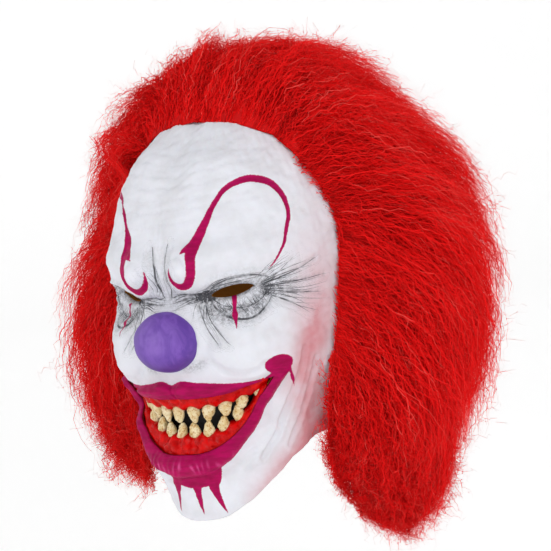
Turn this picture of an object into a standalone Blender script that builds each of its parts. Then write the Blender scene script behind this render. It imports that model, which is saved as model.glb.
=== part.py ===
"""A latex clown mask that goes over the whole head, with a glued-on wool wig.

The face looks along -Y, +Z is up, and the origin is the middle of the wearer's head at eye level.
Every surface is described in one head chart: an angle round the head (0 straight ahead, positive
towards +X) and a station, counted up the list of head sections from the chin to the crown.
"""

import math

import bmesh
import bpy
from mathutils import Vector

# Head skin and outside of the wig, station by station, from below the chin to the crown:
# (height, half width, reach forward, reach back)
HEAD = [
    (-0.175, 0.022, 0.062, 0.056),
    (-0.152, 0.041, 0.080, 0.068),
    (-0.125, 0.055, 0.092, 0.079),
    (-0.095, 0.070, 0.101, 0.089),
    (-0.060, 0.081, 0.104, 0.098),
    (-0.025, 0.087, 0.104, 0.104),
    (0.010, 0.087, 0.106, 0.107),
    (0.045, 0.085, 0.104, 0.105),
    (0.078, 0.076, 0.092, 0.097),
    (0.104, 0.060, 0.070, 0.078),
    (0.122, 0.039, 0.043, 0.050),
    (0.129, 0.000, 0.000, 0.000),
]
# Inside of the wig: it follows the head, and hangs clear of the neck below the jaw
SCALP = [
    (-0.160, 0.084, 0.070, 0.090),
    (-0.148, 0.082, 0.078, 0.090),
    (-0.125, 0.079, 0.087, 0.089),
    (-0.095, 0.078, 0.101, 0.092),
] + HEAD[4:]
WIG = [
    (-0.168, 0.102, 0.082, 0.104),
    (-0.152, 0.114, 0.086, 0.108),
    (-0.125, 0.130, 0.092, 0.114),
    (-0.095, 0.143, 0.096, 0.122),
    (-0.060, 0.156, 0.100, 0.136),
    (-0.020, 0.164, 0.104, 0.154),
    (0.020, 0.161, 0.106, 0.174),
    (0.062, 0.147, 0.104, 0.188),
    (0.102, 0.120, 0.092, 0.172),
    (0.138, 0.085, 0.068, 0.142),
    (0.162, 0.050, 0.038, 0.098),
    (0.173, 0.000, 0.000, 0.000),
]
ROUNDNESS = 2.1  # superellipse power of every level section
CROWN = len(HEAD) - 1

LATEX = 0.0024  # wall of the cast skin
GAP = 0.0004  # left between pieces that touch
SEAM_ANGLE = math.radians(90)
FACE_GRID, REAR_GRID = (34, 34), (20, 16)  # quads round and up each half of the skin
CROWN_CROWDING = 1.15  # draws the skin's rows together towards the crown
SHARP_ANGLE = math.radians(50)  # edges sharper than this stay crisp
CUTTER_REACH = (-0.14, -0.03)  # how far forward and back the openings' cutters go, along Y

# The lower rim: height at the chin, at the corner of the jaw and at the nape
RIM_CHIN, RIM_JAW, RIM_NAPE = -0.143, -0.090, -0.105
RIM_CHIN_WIDTH, RIM_CHIN_POWER, RIM_NAPE_WIDTH = math.radians(33), 2.4, 1.0

EYE_ANGLE, EYE_HEIGHT = math.radians(25.8), 0.0063
EYE_LENGTH, EYE_OPEN, EYE_TILT = 0.030, 0.0076, math.radians(10)
EYE_SINK, LID_POWER = 0.008, 1.3  # the socket's depth, and how pointed the slit's ends are

MOUTH_HALF_WIDTH = 0.0585
MOUTH_RADIUS = 0.094  # of the plain face round the mouth
MOUTH_TOP, MOUTH_BOTTOM, MOUTH_CORNER = -0.0615, -0.0980, -0.0505
MOUTH_CURVE = 2.7  # power of the opening's upper and lower edges
LINER_DEPTH, LINER_WALL, LINER_MARGIN = 0.0245, 0.0012, 0.009
LINER_CLEARANCE = 0.0022  # of its flange behind the skin, filled with glue
LINER_FLARE, LINER_SQUARENESS = 0.9, 10  # its outline against the opening's, and its walls' power

NOSE_RADIUS, NOSE_WALL = 0.0206, 0.002
NOSE_CENTRE = Vector((0, -0.1055, -0.0235))
NOSE_SEGMENTS, NOSE_RINGS, BED_STEPS = 24, 14, 10
# The patch of face that shapes the nose's back: half its angle, its heights and its depth
BED_ANGLE, BED_LOW, BED_HIGH, BED_DEPTH = math.radians(30), -0.070, 0.020, 0.045

UPPER_TEETH, LOWER_TEETH = 10, 8
TOOTH_WIDTH, TOOTH_THICK = 0.0084, 0.0062
UPPER_TOOTH_PITCH, LOWER_TOOTH_PITCH = math.radians(7.4), math.radians(6.9)  # round the head
# In the middle of the mouth: a tooth's length, and from the opening's edge to its root. The
# roots close in on the edges towards the last tooth, whose distance from the middle is given.
UPPER_LENGTH, UPPER_DROP = 0.0128, 0.0042
LOWER_LENGTH, LOWER_RISE = 0.0114, 0.0072
LAST_TOOTH_X, LOWER_RISE_ENDS_X = 0.0507, 0.046
UPPER_SHRINK, LOWER_SHRINK = 0.36, 0.15  # how much shorter the last tooth of each row is
FULL_TOOTH, SLIM_TOOTH = 0.012, 0.45  # shorter teeth are slimmer, down to this share
TOOTH_RINGS, TOOTH_SIDES = 5, 8
TOOTH_DEPTH, GUM_DEPTH = 0.0110, 0.0170
GUM_THICK = 0.0026
GUM_COLUMNS, GUM_ROWS, GUM_CROWN, GUM_INSET = 14, 3, 0.0012, 0.0005
UPPER_GUM_HEIGHT, LOWER_GUM_HEIGHT = 0.009, 0.014
UPPER_GUM_REACH, LOWER_GUM_REACH = 0.050, 0.044  # from the middle of the mouth to either end

CROWN_START = 10.05  # station where the round section on top takes over
# Wig sections: name, angles from and to in degrees, stations from and to, segments round.
# None at the bottom means the hairline; at the front every section stops at the hairline.
WEFTS = [
    ("hair_front_roll", -52, 52, None, CROWN_START, 10),
    ("hair_temple_left", 52, 118, 7.3, CROWN_START, 6),
    ("hair_temple_right", -118, -52, 7.3, CROWN_START, 6),
    ("hair_back_upper", 118, 242, 7.3, CROWN_START, 10),
    ("hair_side_left", 52, 118, 4.6, 7.3, 6),
    ("hair_side_right", -118, -52, 4.6, 7.3, 6),
    ("hair_back_middle", 118, 242, 4.6, 7.3, 10),
    ("hair_fall_left", 52, 128, 0.0, 4.6, 6),
    ("hair_fall_right", -128, -52, 0.0, 4.6, 6),
    ("hair_nape", 128, 232, 2.9, 4.6, 8),
]
WEFT_GAP_ANGLE, WEFT_GAP_STATION = math.radians(0.5), 0.02
SCALP_GAP = 0.0028
# The hairline: height, and its angle on either side of the face at that height
HAIRLINE_POINTS = [
    (-0.160, 80), (-0.140, 73), (-0.120, 67), (-0.098, 63), (-0.050, 66), (0.000, 71),
    (0.038, 76), (0.057, 74), (0.075, 68), (0.092, 60), (0.104, 52), (0.113, 32), (0.117, 0),
]
HAIR_EDGE_THICK, HAIR_EDGE_WIDTH = 0.10, 0.035


def clear_scene():
    for thing in list(bpy.data.objects):
        bpy.data.objects.remove(thing, do_unlink=True)


def material(name, colour, roughness):
    made = bpy.data.materials.new(name)
    made.use_nodes = True
    shader = made.node_tree.nodes["Principled BSDF"]
    shader.inputs["Base Color"].default_value = (*colour, 1)
    shader.inputs["Roughness"].default_value = roughness
    return made


def section(stations, s):
    """Height, half width, forward and backward reach at station s, on a smooth curve."""
    s = min(max(s, 0.0), CROWN)
    i = min(int(s), CROWN - 1)
    f = s - i
    b, c = stations[i], stations[i + 1]
    a = stations[i - 1] if i else [2 * p - q for p, q in zip(b, c)]
    if i + 2 <= CROWN:
        d = stations[i + 2]
    else:
        d = [b[0], -b[1], -b[2], -b[3]]
    return [
        0.5 * (2 * q + (r - p) * f + (2 * p - 5 * q + 4 * r - t) * f**2 + (3 * q - p - 3 * r + t) * f**3)
        for p, q, r, t in zip(a, b, c, d)
    ]


def ring_point(stations, angle, s):
    """The point at this angle on the superellipse at station s."""
    z, half_width, front, back = section(stations, s)
    if s >= CROWN:
        return Vector((0, 0, z))
    reach = front if math.cos(angle) > 0 else back
    across = abs(math.sin(angle)) / half_width
    along = abs(math.cos(angle)) / reach
    radius = (across**ROUNDNESS + along**ROUNDNESS) ** (-1 / ROUNDNESS)
    return Vector((radius * math.sin(angle), -radius * math.cos(angle), z))


def station_at(z):
    """The head's station at this height, found by halving."""
    low, high = 0.0, float(CROWN)
    for _ in range(40):
        middle = (low + high) / 2
        if section(HEAD, middle)[0] < z:
            low = middle
        else:
            high = middle
    return low


def head_normal(angle, s):
    step = 1e-3
    s = min(s, CROWN - 2 * step)
    here = ring_point(HEAD, angle, s)
    round_way = ring_point(HEAD, angle + step, s) - here
    up_way = ring_point(HEAD, angle, s + step) - here
    return round_way.cross(up_way).normalized()


def bump(angle, z, at_angle, at_z, wide, tall):
    """A smooth hill of height 1 in the head chart; angles in degrees, heights in metres."""
    return math.exp(-(((angle - at_angle) / wide) ** 2) - ((z - at_z) / tall) ** 2)


def relief(angle, z):
    """How far the modelled face stands in front of the plain head."""
    a = abs(math.degrees(angle))
    if a > 88:
        return 0.0
    fold = abs(a - (17 - (z + 0.040) * 560))
    height = 0.004 * bump(a, z, 20, 0.088, 14, 0.026)
    height -= 0.0025 * bump(a, z, 0, 0.088, 8, 0.028)
    height += 0.0075 * bump(a, z, 11, 0.022, 8, 0.013)
    height += 0.0060 * bump(a, z, 27, 0.030, 15, 0.011)
    height -= 0.0100 * bump(a, z, 25, 0.002, 13, 0.011)
    height -= 0.0050 * bump(a, z, 0, 0.004, 6, 0.010)
    height += 0.0065 * bump(a, z, 31, -0.030, 15, 0.020)
    height -= 0.0035 * math.exp(-((fold / 5) ** 2)) * bump(0, z, 0, -0.058, 1, 0.024)
    height -= 0.0040 * bump(a, z, 0, -0.075, 26, 0.034)
    height += 0.0045 * bump(a, z, 0, -0.103, 24, 0.009)
    height += 0.0045 * bump(a, z, 0, -0.131, 15, 0.014)
    height -= 0.0040 * bump(a, z, 62, -0.075, 16, 0.035)
    height -= 0.0042 * bump(a, z, 36, -0.064, 14, 0.016)
    return height


def skin_point(angle, s, depth=0.0):
    """A point on the mask's outside, or this far inside it."""
    here = ring_point(HEAD, angle, s)
    if s >= CROWN:
        return here - Vector((0, 0, depth))
    return here + head_normal(angle, s) * (relief(angle, here.z) - depth)


def under_face(angle, z, depth):
    """A point at this height, this far behind the plain face, for what sits in the mouth."""
    s = station_at(z)
    return ring_point(HEAD, angle, s) - head_normal(angle, s) * depth


def rim_station(angle):
    """Where the mask ends below: lowest at the chin, higher at the jaw's corners and the nape."""
    turn = abs(math.atan2(math.sin(angle), math.cos(angle)))
    chin = math.exp(-((turn / RIM_CHIN_WIDTH) ** RIM_CHIN_POWER) / 2)
    nape = math.exp(-(((math.pi - turn) / RIM_NAPE_WIDTH) ** 2))
    height = RIM_JAW + (RIM_CHIN - RIM_JAW) * chin + (RIM_NAPE - RIM_JAW) * nape
    return station_at(height)


def hairline_angle(z):
    """The hairline's angle from straight ahead at this height, in radians."""
    z = min(max(z, HAIRLINE_POINTS[0][0]), HAIRLINE_POINTS[-1][0])
    for (z0, a0), (z1, a1) in zip(HAIRLINE_POINTS, HAIRLINE_POINTS[1:]):
        if z <= z1:
            return math.radians(a0 + (a1 - a0) * (z - z0) / (z1 - z0))
    return 0.0


def hairline_station(angle):
    """The station of the hairline over the forehead at this angle."""
    low, high = station_at(0.060), station_at(HAIRLINE_POINTS[-1][0])
    for _ in range(40):
        middle = (low + high) / 2
        if hairline_angle(section(HEAD, middle)[0]) > abs(angle):
            low = middle
        else:
            high = middle
    return low


def mesh_object(name, verts, faces, look):
    mesh = bpy.data.meshes.new(name)
    mesh.from_pydata([tuple(v) for v in verts], [], faces)
    sheet = bmesh.new()
    sheet.from_mesh(mesh)
    bmesh.ops.remove_doubles(sheet, verts=sheet.verts, dist=1e-6)
    bmesh.ops.delete(sheet, geom=[e for e in sheet.edges if not e.link_faces], context="EDGES")
    bmesh.ops.recalc_face_normals(sheet, faces=sheet.faces)
    if sheet.calc_volume(signed=True) < 0:
        bmesh.ops.reverse_faces(sheet, faces=sheet.faces)
    sheet.to_mesh(mesh)
    sheet.free()
    mesh.shade_smooth()
    mesh.set_sharp_from_angle(angle=SHARP_ANGLE)
    mesh.materials.append(look)
    made = bpy.data.objects.new(name, mesh)
    bpy.context.scene.collection.objects.link(made)
    return made


def slab(name, columns, rows, outer, inner, look):
    """A closed sheet: outer(i, j) and inner(i, j) give its two faces on a grid, and the edges are joined."""
    side = (columns + 1) * (rows + 1)
    verts = [outer(i, j) for j in range(rows + 1) for i in range(columns + 1)]
    verts += [inner(i, j) for j in range(rows + 1) for i in range(columns + 1)]

    def at(i, j, layer):
        return layer * side + j * (columns + 1) + i

    faces = []
    for j in range(rows):
        for i in range(columns):
            faces.append((at(i, j, 0), at(i + 1, j, 0), at(i + 1, j + 1, 0), at(i, j + 1, 0)))
            faces.append((at(i, j, 1), at(i, j + 1, 1), at(i + 1, j + 1, 1), at(i + 1, j, 1)))
    for i in range(columns):
        faces.append((at(i, 0, 0), at(i, 0, 1), at(i + 1, 0, 1), at(i + 1, 0, 0)))
        faces.append((at(i, rows, 0), at(i + 1, rows, 0), at(i + 1, rows, 1), at(i, rows, 1)))
    for j in range(rows):
        faces.append((at(0, j, 0), at(0, j + 1, 0), at(0, j + 1, 1), at(0, j, 1)))
        faces.append((at(columns, j, 0), at(columns, j, 1), at(columns, j + 1, 1), at(columns, j + 1, 0)))
    return mesh_object(name, verts, faces, look)


def cutter(name, outline, front, back):
    """A hidden prism through the face, along Y, with this outline of (x, z) points."""
    count = len(outline)
    verts = [(x, y, z) for y in (front, back) for x, z in outline]
    faces = [tuple(range(count)), tuple(reversed(range(count, 2 * count)))]
    for i in range(count):
        k = (i + 1) % count
        faces.append((i, i + count, k + count, k))
    made = mesh_object(name, verts, faces, bpy.data.materials["latex_white"])
    made.hide_render = True
    made.display_type = "WIRE"
    return made


def cut(target, tool):
    modifier = target.modifiers.new(tool.name, "BOOLEAN")
    modifier.operation = "DIFFERENCE"
    modifier.solver = "EXACT"
    modifier.object = tool


def half_shell(name, start_angle, end_angle, grid, offset, look):
    """Half of the cast skin, between two angles, from the lower rim to the crown."""
    columns, rows = grid

    def place(i, j, depth):
        angle = start_angle + (end_angle - start_angle) * i / columns
        rim = rim_station(angle)
        rise = 1 - (1 - j / rows) ** CROWN_CROWDING
        point = skin_point(angle, rim + (CROWN - rim) * rise, depth)
        return point + offset

    return slab(
        name, columns, rows, lambda i, j: place(i, j, 0.0), lambda i, j: place(i, j, LATEX), look
    )


def eye_outline(side, segments=10):
    """An almond, wide at the temple end and tilted down to the nose."""
    centre_x = side * under_face(EYE_ANGLE, EYE_HEIGHT, EYE_SINK).x
    points = []
    for k in range(2 * segments):
        turn = math.pi * k / segments
        along = math.cos(turn) * EYE_LENGTH / 2
        lid = math.copysign(abs(math.sin(turn)) ** LID_POWER, math.sin(turn)) * EYE_OPEN / 2
        x = along * math.cos(EYE_TILT) - lid * math.sin(EYE_TILT)
        z = along * math.sin(EYE_TILT) + lid * math.cos(EYE_TILT)
        points.append((centre_x + side * x, EYE_HEIGHT + z))
    return points


def mouth_edge(x, middle):
    """Height of the mouth opening's upper or lower edge, which is at middle on the centre line."""
    return middle + (MOUTH_CORNER - middle) * abs(x / MOUTH_HALF_WIDTH) ** MOUTH_CURVE


def mouth_outline(segments=12):
    xs = [MOUTH_HALF_WIDTH * (2 * k / segments - 1) for k in range(segments + 1)]
    upper = [(x, mouth_edge(x, MOUTH_TOP)) for x in xs]
    lower = [(x, mouth_edge(x, MOUTH_BOTTOM)) for x in reversed(xs[1:-1])]
    return upper + lower


def build_shells():
    white = material("latex_white", (0.86, 0.86, 0.87), 0.62)
    face = half_shell("face_shell", -SEAM_ANGLE, SEAM_ANGLE, FACE_GRID, Vector((0, 0, 0)), white)
    half_shell("rear_shell", SEAM_ANGLE, 2 * math.pi - SEAM_ANGLE, REAR_GRID, Vector((0, GAP, 0)), white)
    for side, name in ((1, "left"), (-1, "right")):
        cut(face, cutter(f"eye_cutter_{name}", eye_outline(side), *CUTTER_REACH))
    cut(face, cutter("mouth_cutter", mouth_outline(), *CUTTER_REACH))


def build_nose():
    """A hollow half-open ball, open at the back where it is glued over the nose."""
    purple = material("latex_purple", (0.20, 0.07, 0.42), 0.6)
    bpy.ops.mesh.primitive_uv_sphere_add(
        segments=NOSE_SEGMENTS, ring_count=NOSE_RINGS, radius=NOSE_RADIUS, location=NOSE_CENTRE
    )
    nose = bpy.context.object
    nose.name = nose.data.name = "nose_ball"
    nose.data.materials.append(purple)
    nose.data.shade_smooth()
    bpy.ops.mesh.primitive_uv_sphere_add(
        segments=NOSE_SEGMENTS, ring_count=NOSE_RINGS, radius=NOSE_RADIUS - NOSE_WALL,
        location=NOSE_CENTRE
    )
    hollow = bpy.context.object
    hollow.name = "nose_hollow"
    # The back of the ball is cut to the face it is glued to, with room for the glue.

    def bed_point(i, j, depth):
        turn = BED_ANGLE * (2 * i / BED_STEPS - 1)
        return skin_point(turn, station_at(BED_LOW + (BED_HIGH - BED_LOW) * j / BED_STEPS), depth)

    bed = slab(
        "nose_bed", BED_STEPS, BED_STEPS, lambda i, j: bed_point(i, j, -2.5 * GAP),
        lambda i, j: bed_point(i, j, BED_DEPTH), purple,
    )
    for tool in (hollow, bed):
        tool.hide_render = True
        tool.display_type = "WIRE"
        cut(nose, tool)


def mouth_angle(x):
    """The angle round the head at which the plain face is this far from the middle."""
    return math.asin(min(max(x / MOUTH_RADIUS, -1.0), 1.0))


def build_mouth():
    """The dark pan behind the mouth opening, and the two gums that hold the teeth."""
    black = material("liner_black", (0.012, 0.010, 0.012), 0.7)
    red = material("gum_red", (0.62, 0.02, 0.02), 0.4)
    columns, rows = 16, 8
    half_width = MOUTH_HALF_WIDTH + LINER_MARGIN

    def pan(i, j, extra):
        across = -math.cos(math.pi * i / columns)
        up = 0.5 - 0.5 * math.cos(math.pi * j / rows)
        x = across * half_width
        low = mouth_edge(x * LINER_FLARE, MOUTH_BOTTOM) - LINER_MARGIN
        high = mouth_edge(x * LINER_FLARE, MOUTH_TOP) + LINER_MARGIN
        edge = (1 - across**LINER_SQUARENESS) * (1 - (2 * up - 1) ** LINER_SQUARENESS)
        z = low + (high - low) * up
        angle = mouth_angle(x)
        shallow = LATEX + LINER_CLEARANCE - relief(angle, z)
        return under_face(angle, z, shallow + (LINER_DEPTH - shallow) * edge + extra)

    slab("mouth_liner", columns, rows, lambda i, j: pan(i, j, 0), lambda i, j: pan(i, j, LINER_WALL), black)

    def gum(name, outer_edge, inner_edge, reach):
        def place(i, j, depth):
            x = reach * (2 * i / GUM_COLUMNS - 1)
            z = outer_edge(x) + (inner_edge(x) - outer_edge(x)) * j / GUM_ROWS
            crown = GUM_CROWN * math.sin(math.pi * j / GUM_ROWS)
            return under_face(mouth_angle(x), z, depth - crown)

        slab(
            name, GUM_COLUMNS, GUM_ROWS, lambda i, j: place(i, j, GUM_DEPTH - GUM_CROWN),
            lambda i, j: place(i, j, GUM_DEPTH + GUM_THICK), red,
        )

    gum(
        "upper_gum", lambda x: mouth_edge(x, MOUTH_TOP) - GUM_INSET,
        lambda x: mouth_edge(x, MOUTH_TOP - UPPER_GUM_HEIGHT), UPPER_GUM_REACH,
    )
    gum(
        "lower_gum", lambda x: mouth_edge(x, MOUTH_BOTTOM) + GUM_INSET,
        lambda x: mouth_edge(x, MOUTH_BOTTOM + LOWER_GUM_HEIGHT), LOWER_GUM_REACH,
    )


def upper_root(x):
    """Height of an upper tooth's root, and the tooth's length downwards."""
    shrink = 1 - UPPER_SHRINK * abs(x / LAST_TOOTH_X) ** 3
    return mouth_edge(x, MOUTH_TOP) - UPPER_DROP, -UPPER_LENGTH * shrink


def lower_root(x):
    """Height of a lower tooth's root, and the tooth's length upwards."""
    rise = LOWER_RISE * (1 - (x / LOWER_RISE_ENDS_X) ** 2)
    shrink = 1 - LOWER_SHRINK * abs(x / LAST_TOOTH_X) ** 2
    return mouth_edge(x, MOUTH_BOTTOM) + rise, LOWER_LENGTH * shrink


def build_tooth(name, x, root, length, look):
    """A blunt fang that grows from root along Z, up or down as the sign of length says."""
    rings, around = TOOTH_RINGS, TOOTH_SIDES
    verts, faces = [], []
    centre = under_face(mouth_angle(x), root + length / 2, TOOTH_DEPTH)
    outward = head_normal(mouth_angle(x), station_at(root))
    outward = Vector((outward.x, outward.y, 0)).normalized()
    sideways = Vector((-outward.y, outward.x, 0))
    width = TOOTH_WIDTH * min(1, SLIM_TOOTH + (1 - SLIM_TOOTH) * abs(length) / FULL_TOOTH)
    for ring in range(rings + 1):
        t = ring / rings
        # a root that widens, then a rounded tip
        girth = 0.82 + 0.5 * t if t < 0.35 else math.sqrt(max(1 - (1.9 * t - 0.75) ** 2, 0.03))
        for k in range(around):
            turn = 2 * math.pi * k / around
            verts.append(
                centre
                + sideways * (math.cos(turn) * girth * width / 2)
                + outward * (math.sin(turn) * girth * TOOTH_THICK / 2)
                + Vector((0, 0, (t - 0.5) * length))
            )
    for ring in range(rings):
        for k in range(around):
            n = (k + 1) % around
            low, high = ring * around, (ring + 1) * around
            faces.append((low + k, low + n, high + n, high + k))
    faces.append(tuple(reversed(range(around))))
    faces.append(tuple(range(rings * around, (rings + 1) * around)))
    mesh_object(name, verts, faces, look)


def build_teeth():
    ivory = material("tooth_ivory", (0.78, 0.66, 0.42), 0.5)
    rows = (
        ("upper", UPPER_TEETH, UPPER_TOOTH_PITCH, upper_root),
        ("lower", LOWER_TEETH, LOWER_TOOTH_PITCH, lower_root),
    )
    for row, count, pitch, root_at in rows:
        for k in range(count):
            x = MOUTH_RADIUS * math.sin(pitch * (k - (count - 1) / 2))
            root, length = root_at(x)
            build_tooth(f"{row}_tooth_{k + 1}", x, root, length, ivory)


def build_weft(name, start, end, low, high, columns, look):
    """One section of the wig, a closed block between the scalp and the wig's outside."""
    rows = 6

    def chart(i, j):
        across, up = i / columns, j / rows
        first, last = math.radians(start), math.radians(end)
        if low is None:
            angle = first + (last - first) * across
            bottom = hairline_station(angle)
            return angle, bottom + (high - bottom) * up
        s = low + WEFT_GAP_STATION + (high - low - 2 * WEFT_GAP_STATION) * up
        line = hairline_angle(section(SCALP, s)[0])
        first += WEFT_GAP_ANGLE
        last -= WEFT_GAP_ANGLE
        if start > 0:
            first = max(first, line)
        else:
            last = min(last, -line)
        return first + (last - first) * across, s

    def inner(i, j):
        angle, s = chart(i, j)
        scalp = ring_point(SCALP, angle, s)
        return scalp + head_normal(angle, s) * (relief(angle, scalp.z) + SCALP_GAP)

    def outer(i, j):
        angle, s = chart(i, j)
        scalp = ring_point(SCALP, angle, s)
        if low is None:
            from_edge = (scalp - ring_point(SCALP, angle, hairline_station(angle))).length
        else:
            turn = abs(math.atan2(math.sin(angle), math.cos(angle)))
            from_edge = (turn - hairline_angle(scalp.z)) * Vector(scalp[:2]).length
        full = min(max(from_edge / HAIR_EDGE_WIDTH, 0.0), 1.0)
        thick = HAIR_EDGE_THICK + (1 - HAIR_EDGE_THICK) * math.sqrt(full * (2 - full))
        near = inner(i, j)
        return near + (ring_point(WIG, angle, s) - near) * thick

    slab(name, columns, rows, outer, inner, look)


def build_crown_tuft(look):
    """The round section on top that covers the ends of the others."""
    around, rows, first = 20, 4, CROWN_START + 2 * WEFT_GAP_STATION
    verts, faces = [], []
    for stations, lift in ((WIG, 0.0), (HEAD, SCALP_GAP)):
        for j in range(rows):
            for k in range(around):
                angle = 2 * math.pi * k / around
                s = first + (CROWN - first) * j / rows
                verts.append(ring_point(stations, angle, s) + head_normal(angle, s) * lift)
        verts.append(Vector((0, 0, stations[CROWN][0] + lift)))
    layer = around * rows + 1
    for base, turned in ((0, False), (layer, True)):
        for k in range(around):
            n = (k + 1) % around
            for j in range(rows - 1):
                a, b = base + j * around, base + (j + 1) * around
                quad = (a + k, a + n, b + n, b + k)
                faces.append(quad[::-1] if turned else quad)
            top = (base + (rows - 1) * around + k, base + (rows - 1) * around + n, base + layer - 1)
            faces.append(top[::-1] if turned else top)
    for k in range(around):
        n = (k + 1) % around
        faces.append((k, k + layer, n + layer, n))
    mesh_object("hair_crown", verts, faces, look)


def build_wig():
    wool = material("wool_red", (0.75, 0.01, 0.01), 0.85)
    for name, start, end, low, high, columns in WEFTS:
        build_weft(name, start, end, low, high, columns, wool)
    build_crown_tuft(wool)


clear_scene()
build_shells()
build_nose()
build_mouth()
build_teeth()
build_wig()
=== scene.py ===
"""The clown mask's looks: painted latex skin, teeth, ball nose and wool wig, built round the CAD frame."""

import math

import bmesh
import bpy
import numpy as np
from mathutils import Matrix, Vector


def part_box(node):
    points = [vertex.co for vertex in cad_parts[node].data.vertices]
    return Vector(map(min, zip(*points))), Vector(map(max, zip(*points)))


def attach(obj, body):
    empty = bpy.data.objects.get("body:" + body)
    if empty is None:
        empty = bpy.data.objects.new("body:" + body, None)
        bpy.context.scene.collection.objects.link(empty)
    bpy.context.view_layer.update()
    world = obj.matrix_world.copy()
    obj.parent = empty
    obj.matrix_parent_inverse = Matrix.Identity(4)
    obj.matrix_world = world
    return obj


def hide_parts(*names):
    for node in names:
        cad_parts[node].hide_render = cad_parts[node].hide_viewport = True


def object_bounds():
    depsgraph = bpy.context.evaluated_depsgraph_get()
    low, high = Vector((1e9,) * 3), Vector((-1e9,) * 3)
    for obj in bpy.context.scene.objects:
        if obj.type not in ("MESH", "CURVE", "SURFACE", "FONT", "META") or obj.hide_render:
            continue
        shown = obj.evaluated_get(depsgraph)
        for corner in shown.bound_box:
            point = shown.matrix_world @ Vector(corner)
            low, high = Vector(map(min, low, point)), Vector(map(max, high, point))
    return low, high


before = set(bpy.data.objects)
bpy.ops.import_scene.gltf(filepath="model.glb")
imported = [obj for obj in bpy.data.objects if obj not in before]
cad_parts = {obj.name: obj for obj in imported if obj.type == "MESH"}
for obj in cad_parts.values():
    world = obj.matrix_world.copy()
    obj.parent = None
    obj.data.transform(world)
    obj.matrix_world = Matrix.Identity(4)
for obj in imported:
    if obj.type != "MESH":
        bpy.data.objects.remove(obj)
cad_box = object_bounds()

# ---------------------------------------------------------------- the head chart, as in the CAD model
# (height, half width, reach forward, reach back), from below the chin to the crown
HEAD = np.array([
    (-0.175, 0.022, 0.062, 0.056),
    (-0.152, 0.041, 0.080, 0.068),
    (-0.125, 0.055, 0.092, 0.079),
    (-0.095, 0.070, 0.101, 0.089),
    (-0.060, 0.081, 0.104, 0.098),
    (-0.025, 0.087, 0.104, 0.104),
    (0.010, 0.087, 0.106, 0.107),
    (0.045, 0.085, 0.104, 0.105),
    (0.078, 0.076, 0.092, 0.097),
    (0.104, 0.060, 0.070, 0.078),
    (0.122, 0.039, 0.043, 0.050),
    (0.129, 0.000, 0.000, 0.000),
])
SCALP = np.vstack([[
    (-0.160, 0.084, 0.070, 0.090),
    (-0.148, 0.082, 0.078, 0.090),
    (-0.125, 0.079, 0.087, 0.089),
    (-0.095, 0.078, 0.101, 0.092),
], HEAD[4:]])
WIG = np.array([
    (-0.168, 0.102, 0.082, 0.104),
    (-0.152, 0.114, 0.086, 0.108),
    (-0.125, 0.130, 0.092, 0.114),
    (-0.095, 0.143, 0.096, 0.122),
    (-0.060, 0.156, 0.100, 0.136),
    (-0.020, 0.164, 0.104, 0.154),
    (0.020, 0.161, 0.106, 0.174),
    (0.062, 0.147, 0.104, 0.188),
    (0.102, 0.120, 0.092, 0.172),
    (0.138, 0.085, 0.068, 0.142),
    (0.162, 0.050, 0.038, 0.098),
    (0.173, 0.000, 0.000, 0.000),
])
ROUNDNESS = 2.1
CROWN = len(HEAD) - 1
LATEX = 0.0024
CHART_RADIUS = 0.095  # turns an angle round the head into a distance on the skin
STATION_LENGTH = 0.030  # about how far apart two stations lie on the skin

RIM_CHIN, RIM_JAW, RIM_NAPE = -0.143, -0.090, -0.105
RIM_CHIN_WIDTH = math.radians(33)
HAIRLINE = np.array([
    (-0.160, 80), (-0.140, 73), (-0.120, 67), (-0.098, 63), (-0.050, 66), (0.000, 71),
    (0.038, 76), (0.057, 74), (0.075, 68), (0.092, 60), (0.104, 52), (0.113, 32), (0.117, 0),
])

EYE_ANGLE, EYE_HEIGHT = 25.8, 0.0063
EYE_LENGTH, EYE_OPEN, EYE_TILT = 0.0290, 0.0074, math.radians(10)
LID_POWER = 0.75  # bow of the eye slit's upper and lower edges
MOUTH_HALF_WIDTH = 0.0585
MOUTH_TOP, MOUTH_BOTTOM, MOUTH_CORNER = -0.0615, -0.0980, -0.0505
MOUTH_CURVE = 2.7  # power of the opening's upper and lower edges
NOSE_RADIUS, NOSE_CENTRE = 0.0210, Vector((0, -0.1055, -0.0235))
NOSE_SHAPE = (1.07, 1.01, 0.94)  # its width, depth and height over those of a ball
MOUTH_RADIUS = 0.094  # of the plain face round the mouth
UPPER_TEETH, LOWER_TEETH = 10, 8


def section(stations, s):
    """Height, half width and the two reaches at stations s, on a smooth curve."""
    s = np.clip(s, 0, CROWN)
    before = 2 * stations[0] - stations[1]
    after = stations[-2] * [1, -1, -1, -1]
    p = np.vstack([before, stations, after])
    i = np.minimum(s.astype(int), CROWN - 1)
    f = (s - i)[..., None]
    a, b, c, d = p[i], p[i + 1], p[i + 2], p[i + 3]
    return 0.5 * (2 * b + (c - a) * f + (2 * a - 5 * b + 4 * c - d) * f**2 + (3 * b - a - 3 * c + d) * f**3)


def ring_point(stations, angle, s):
    """Points at these angles on the superellipses at stations s."""
    angle, s = np.broadcast_arrays(np.asarray(angle, float), np.asarray(s, float))
    q = section(stations, s)
    wide = np.maximum(q[..., 1], 1e-6)
    reach = np.maximum(np.where(np.cos(angle) > 0, q[..., 2], q[..., 3]), 1e-6)
    radius = (np.abs(np.sin(angle) / wide) ** ROUNDNESS + np.abs(np.cos(angle) / reach) ** ROUNDNESS) ** (
        -1 / ROUNDNESS
    )
    return np.stack([radius * np.sin(angle), -radius * np.cos(angle), q[..., 0]], -1)


def unit(v):
    return v / np.maximum(np.linalg.norm(v, axis=-1, keepdims=True), 1e-12)


def bell(x, width):
    """A bell curve: 1 where x is 0, and 1 / e a width away."""
    return np.exp(-((x / width) ** 2))


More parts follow.
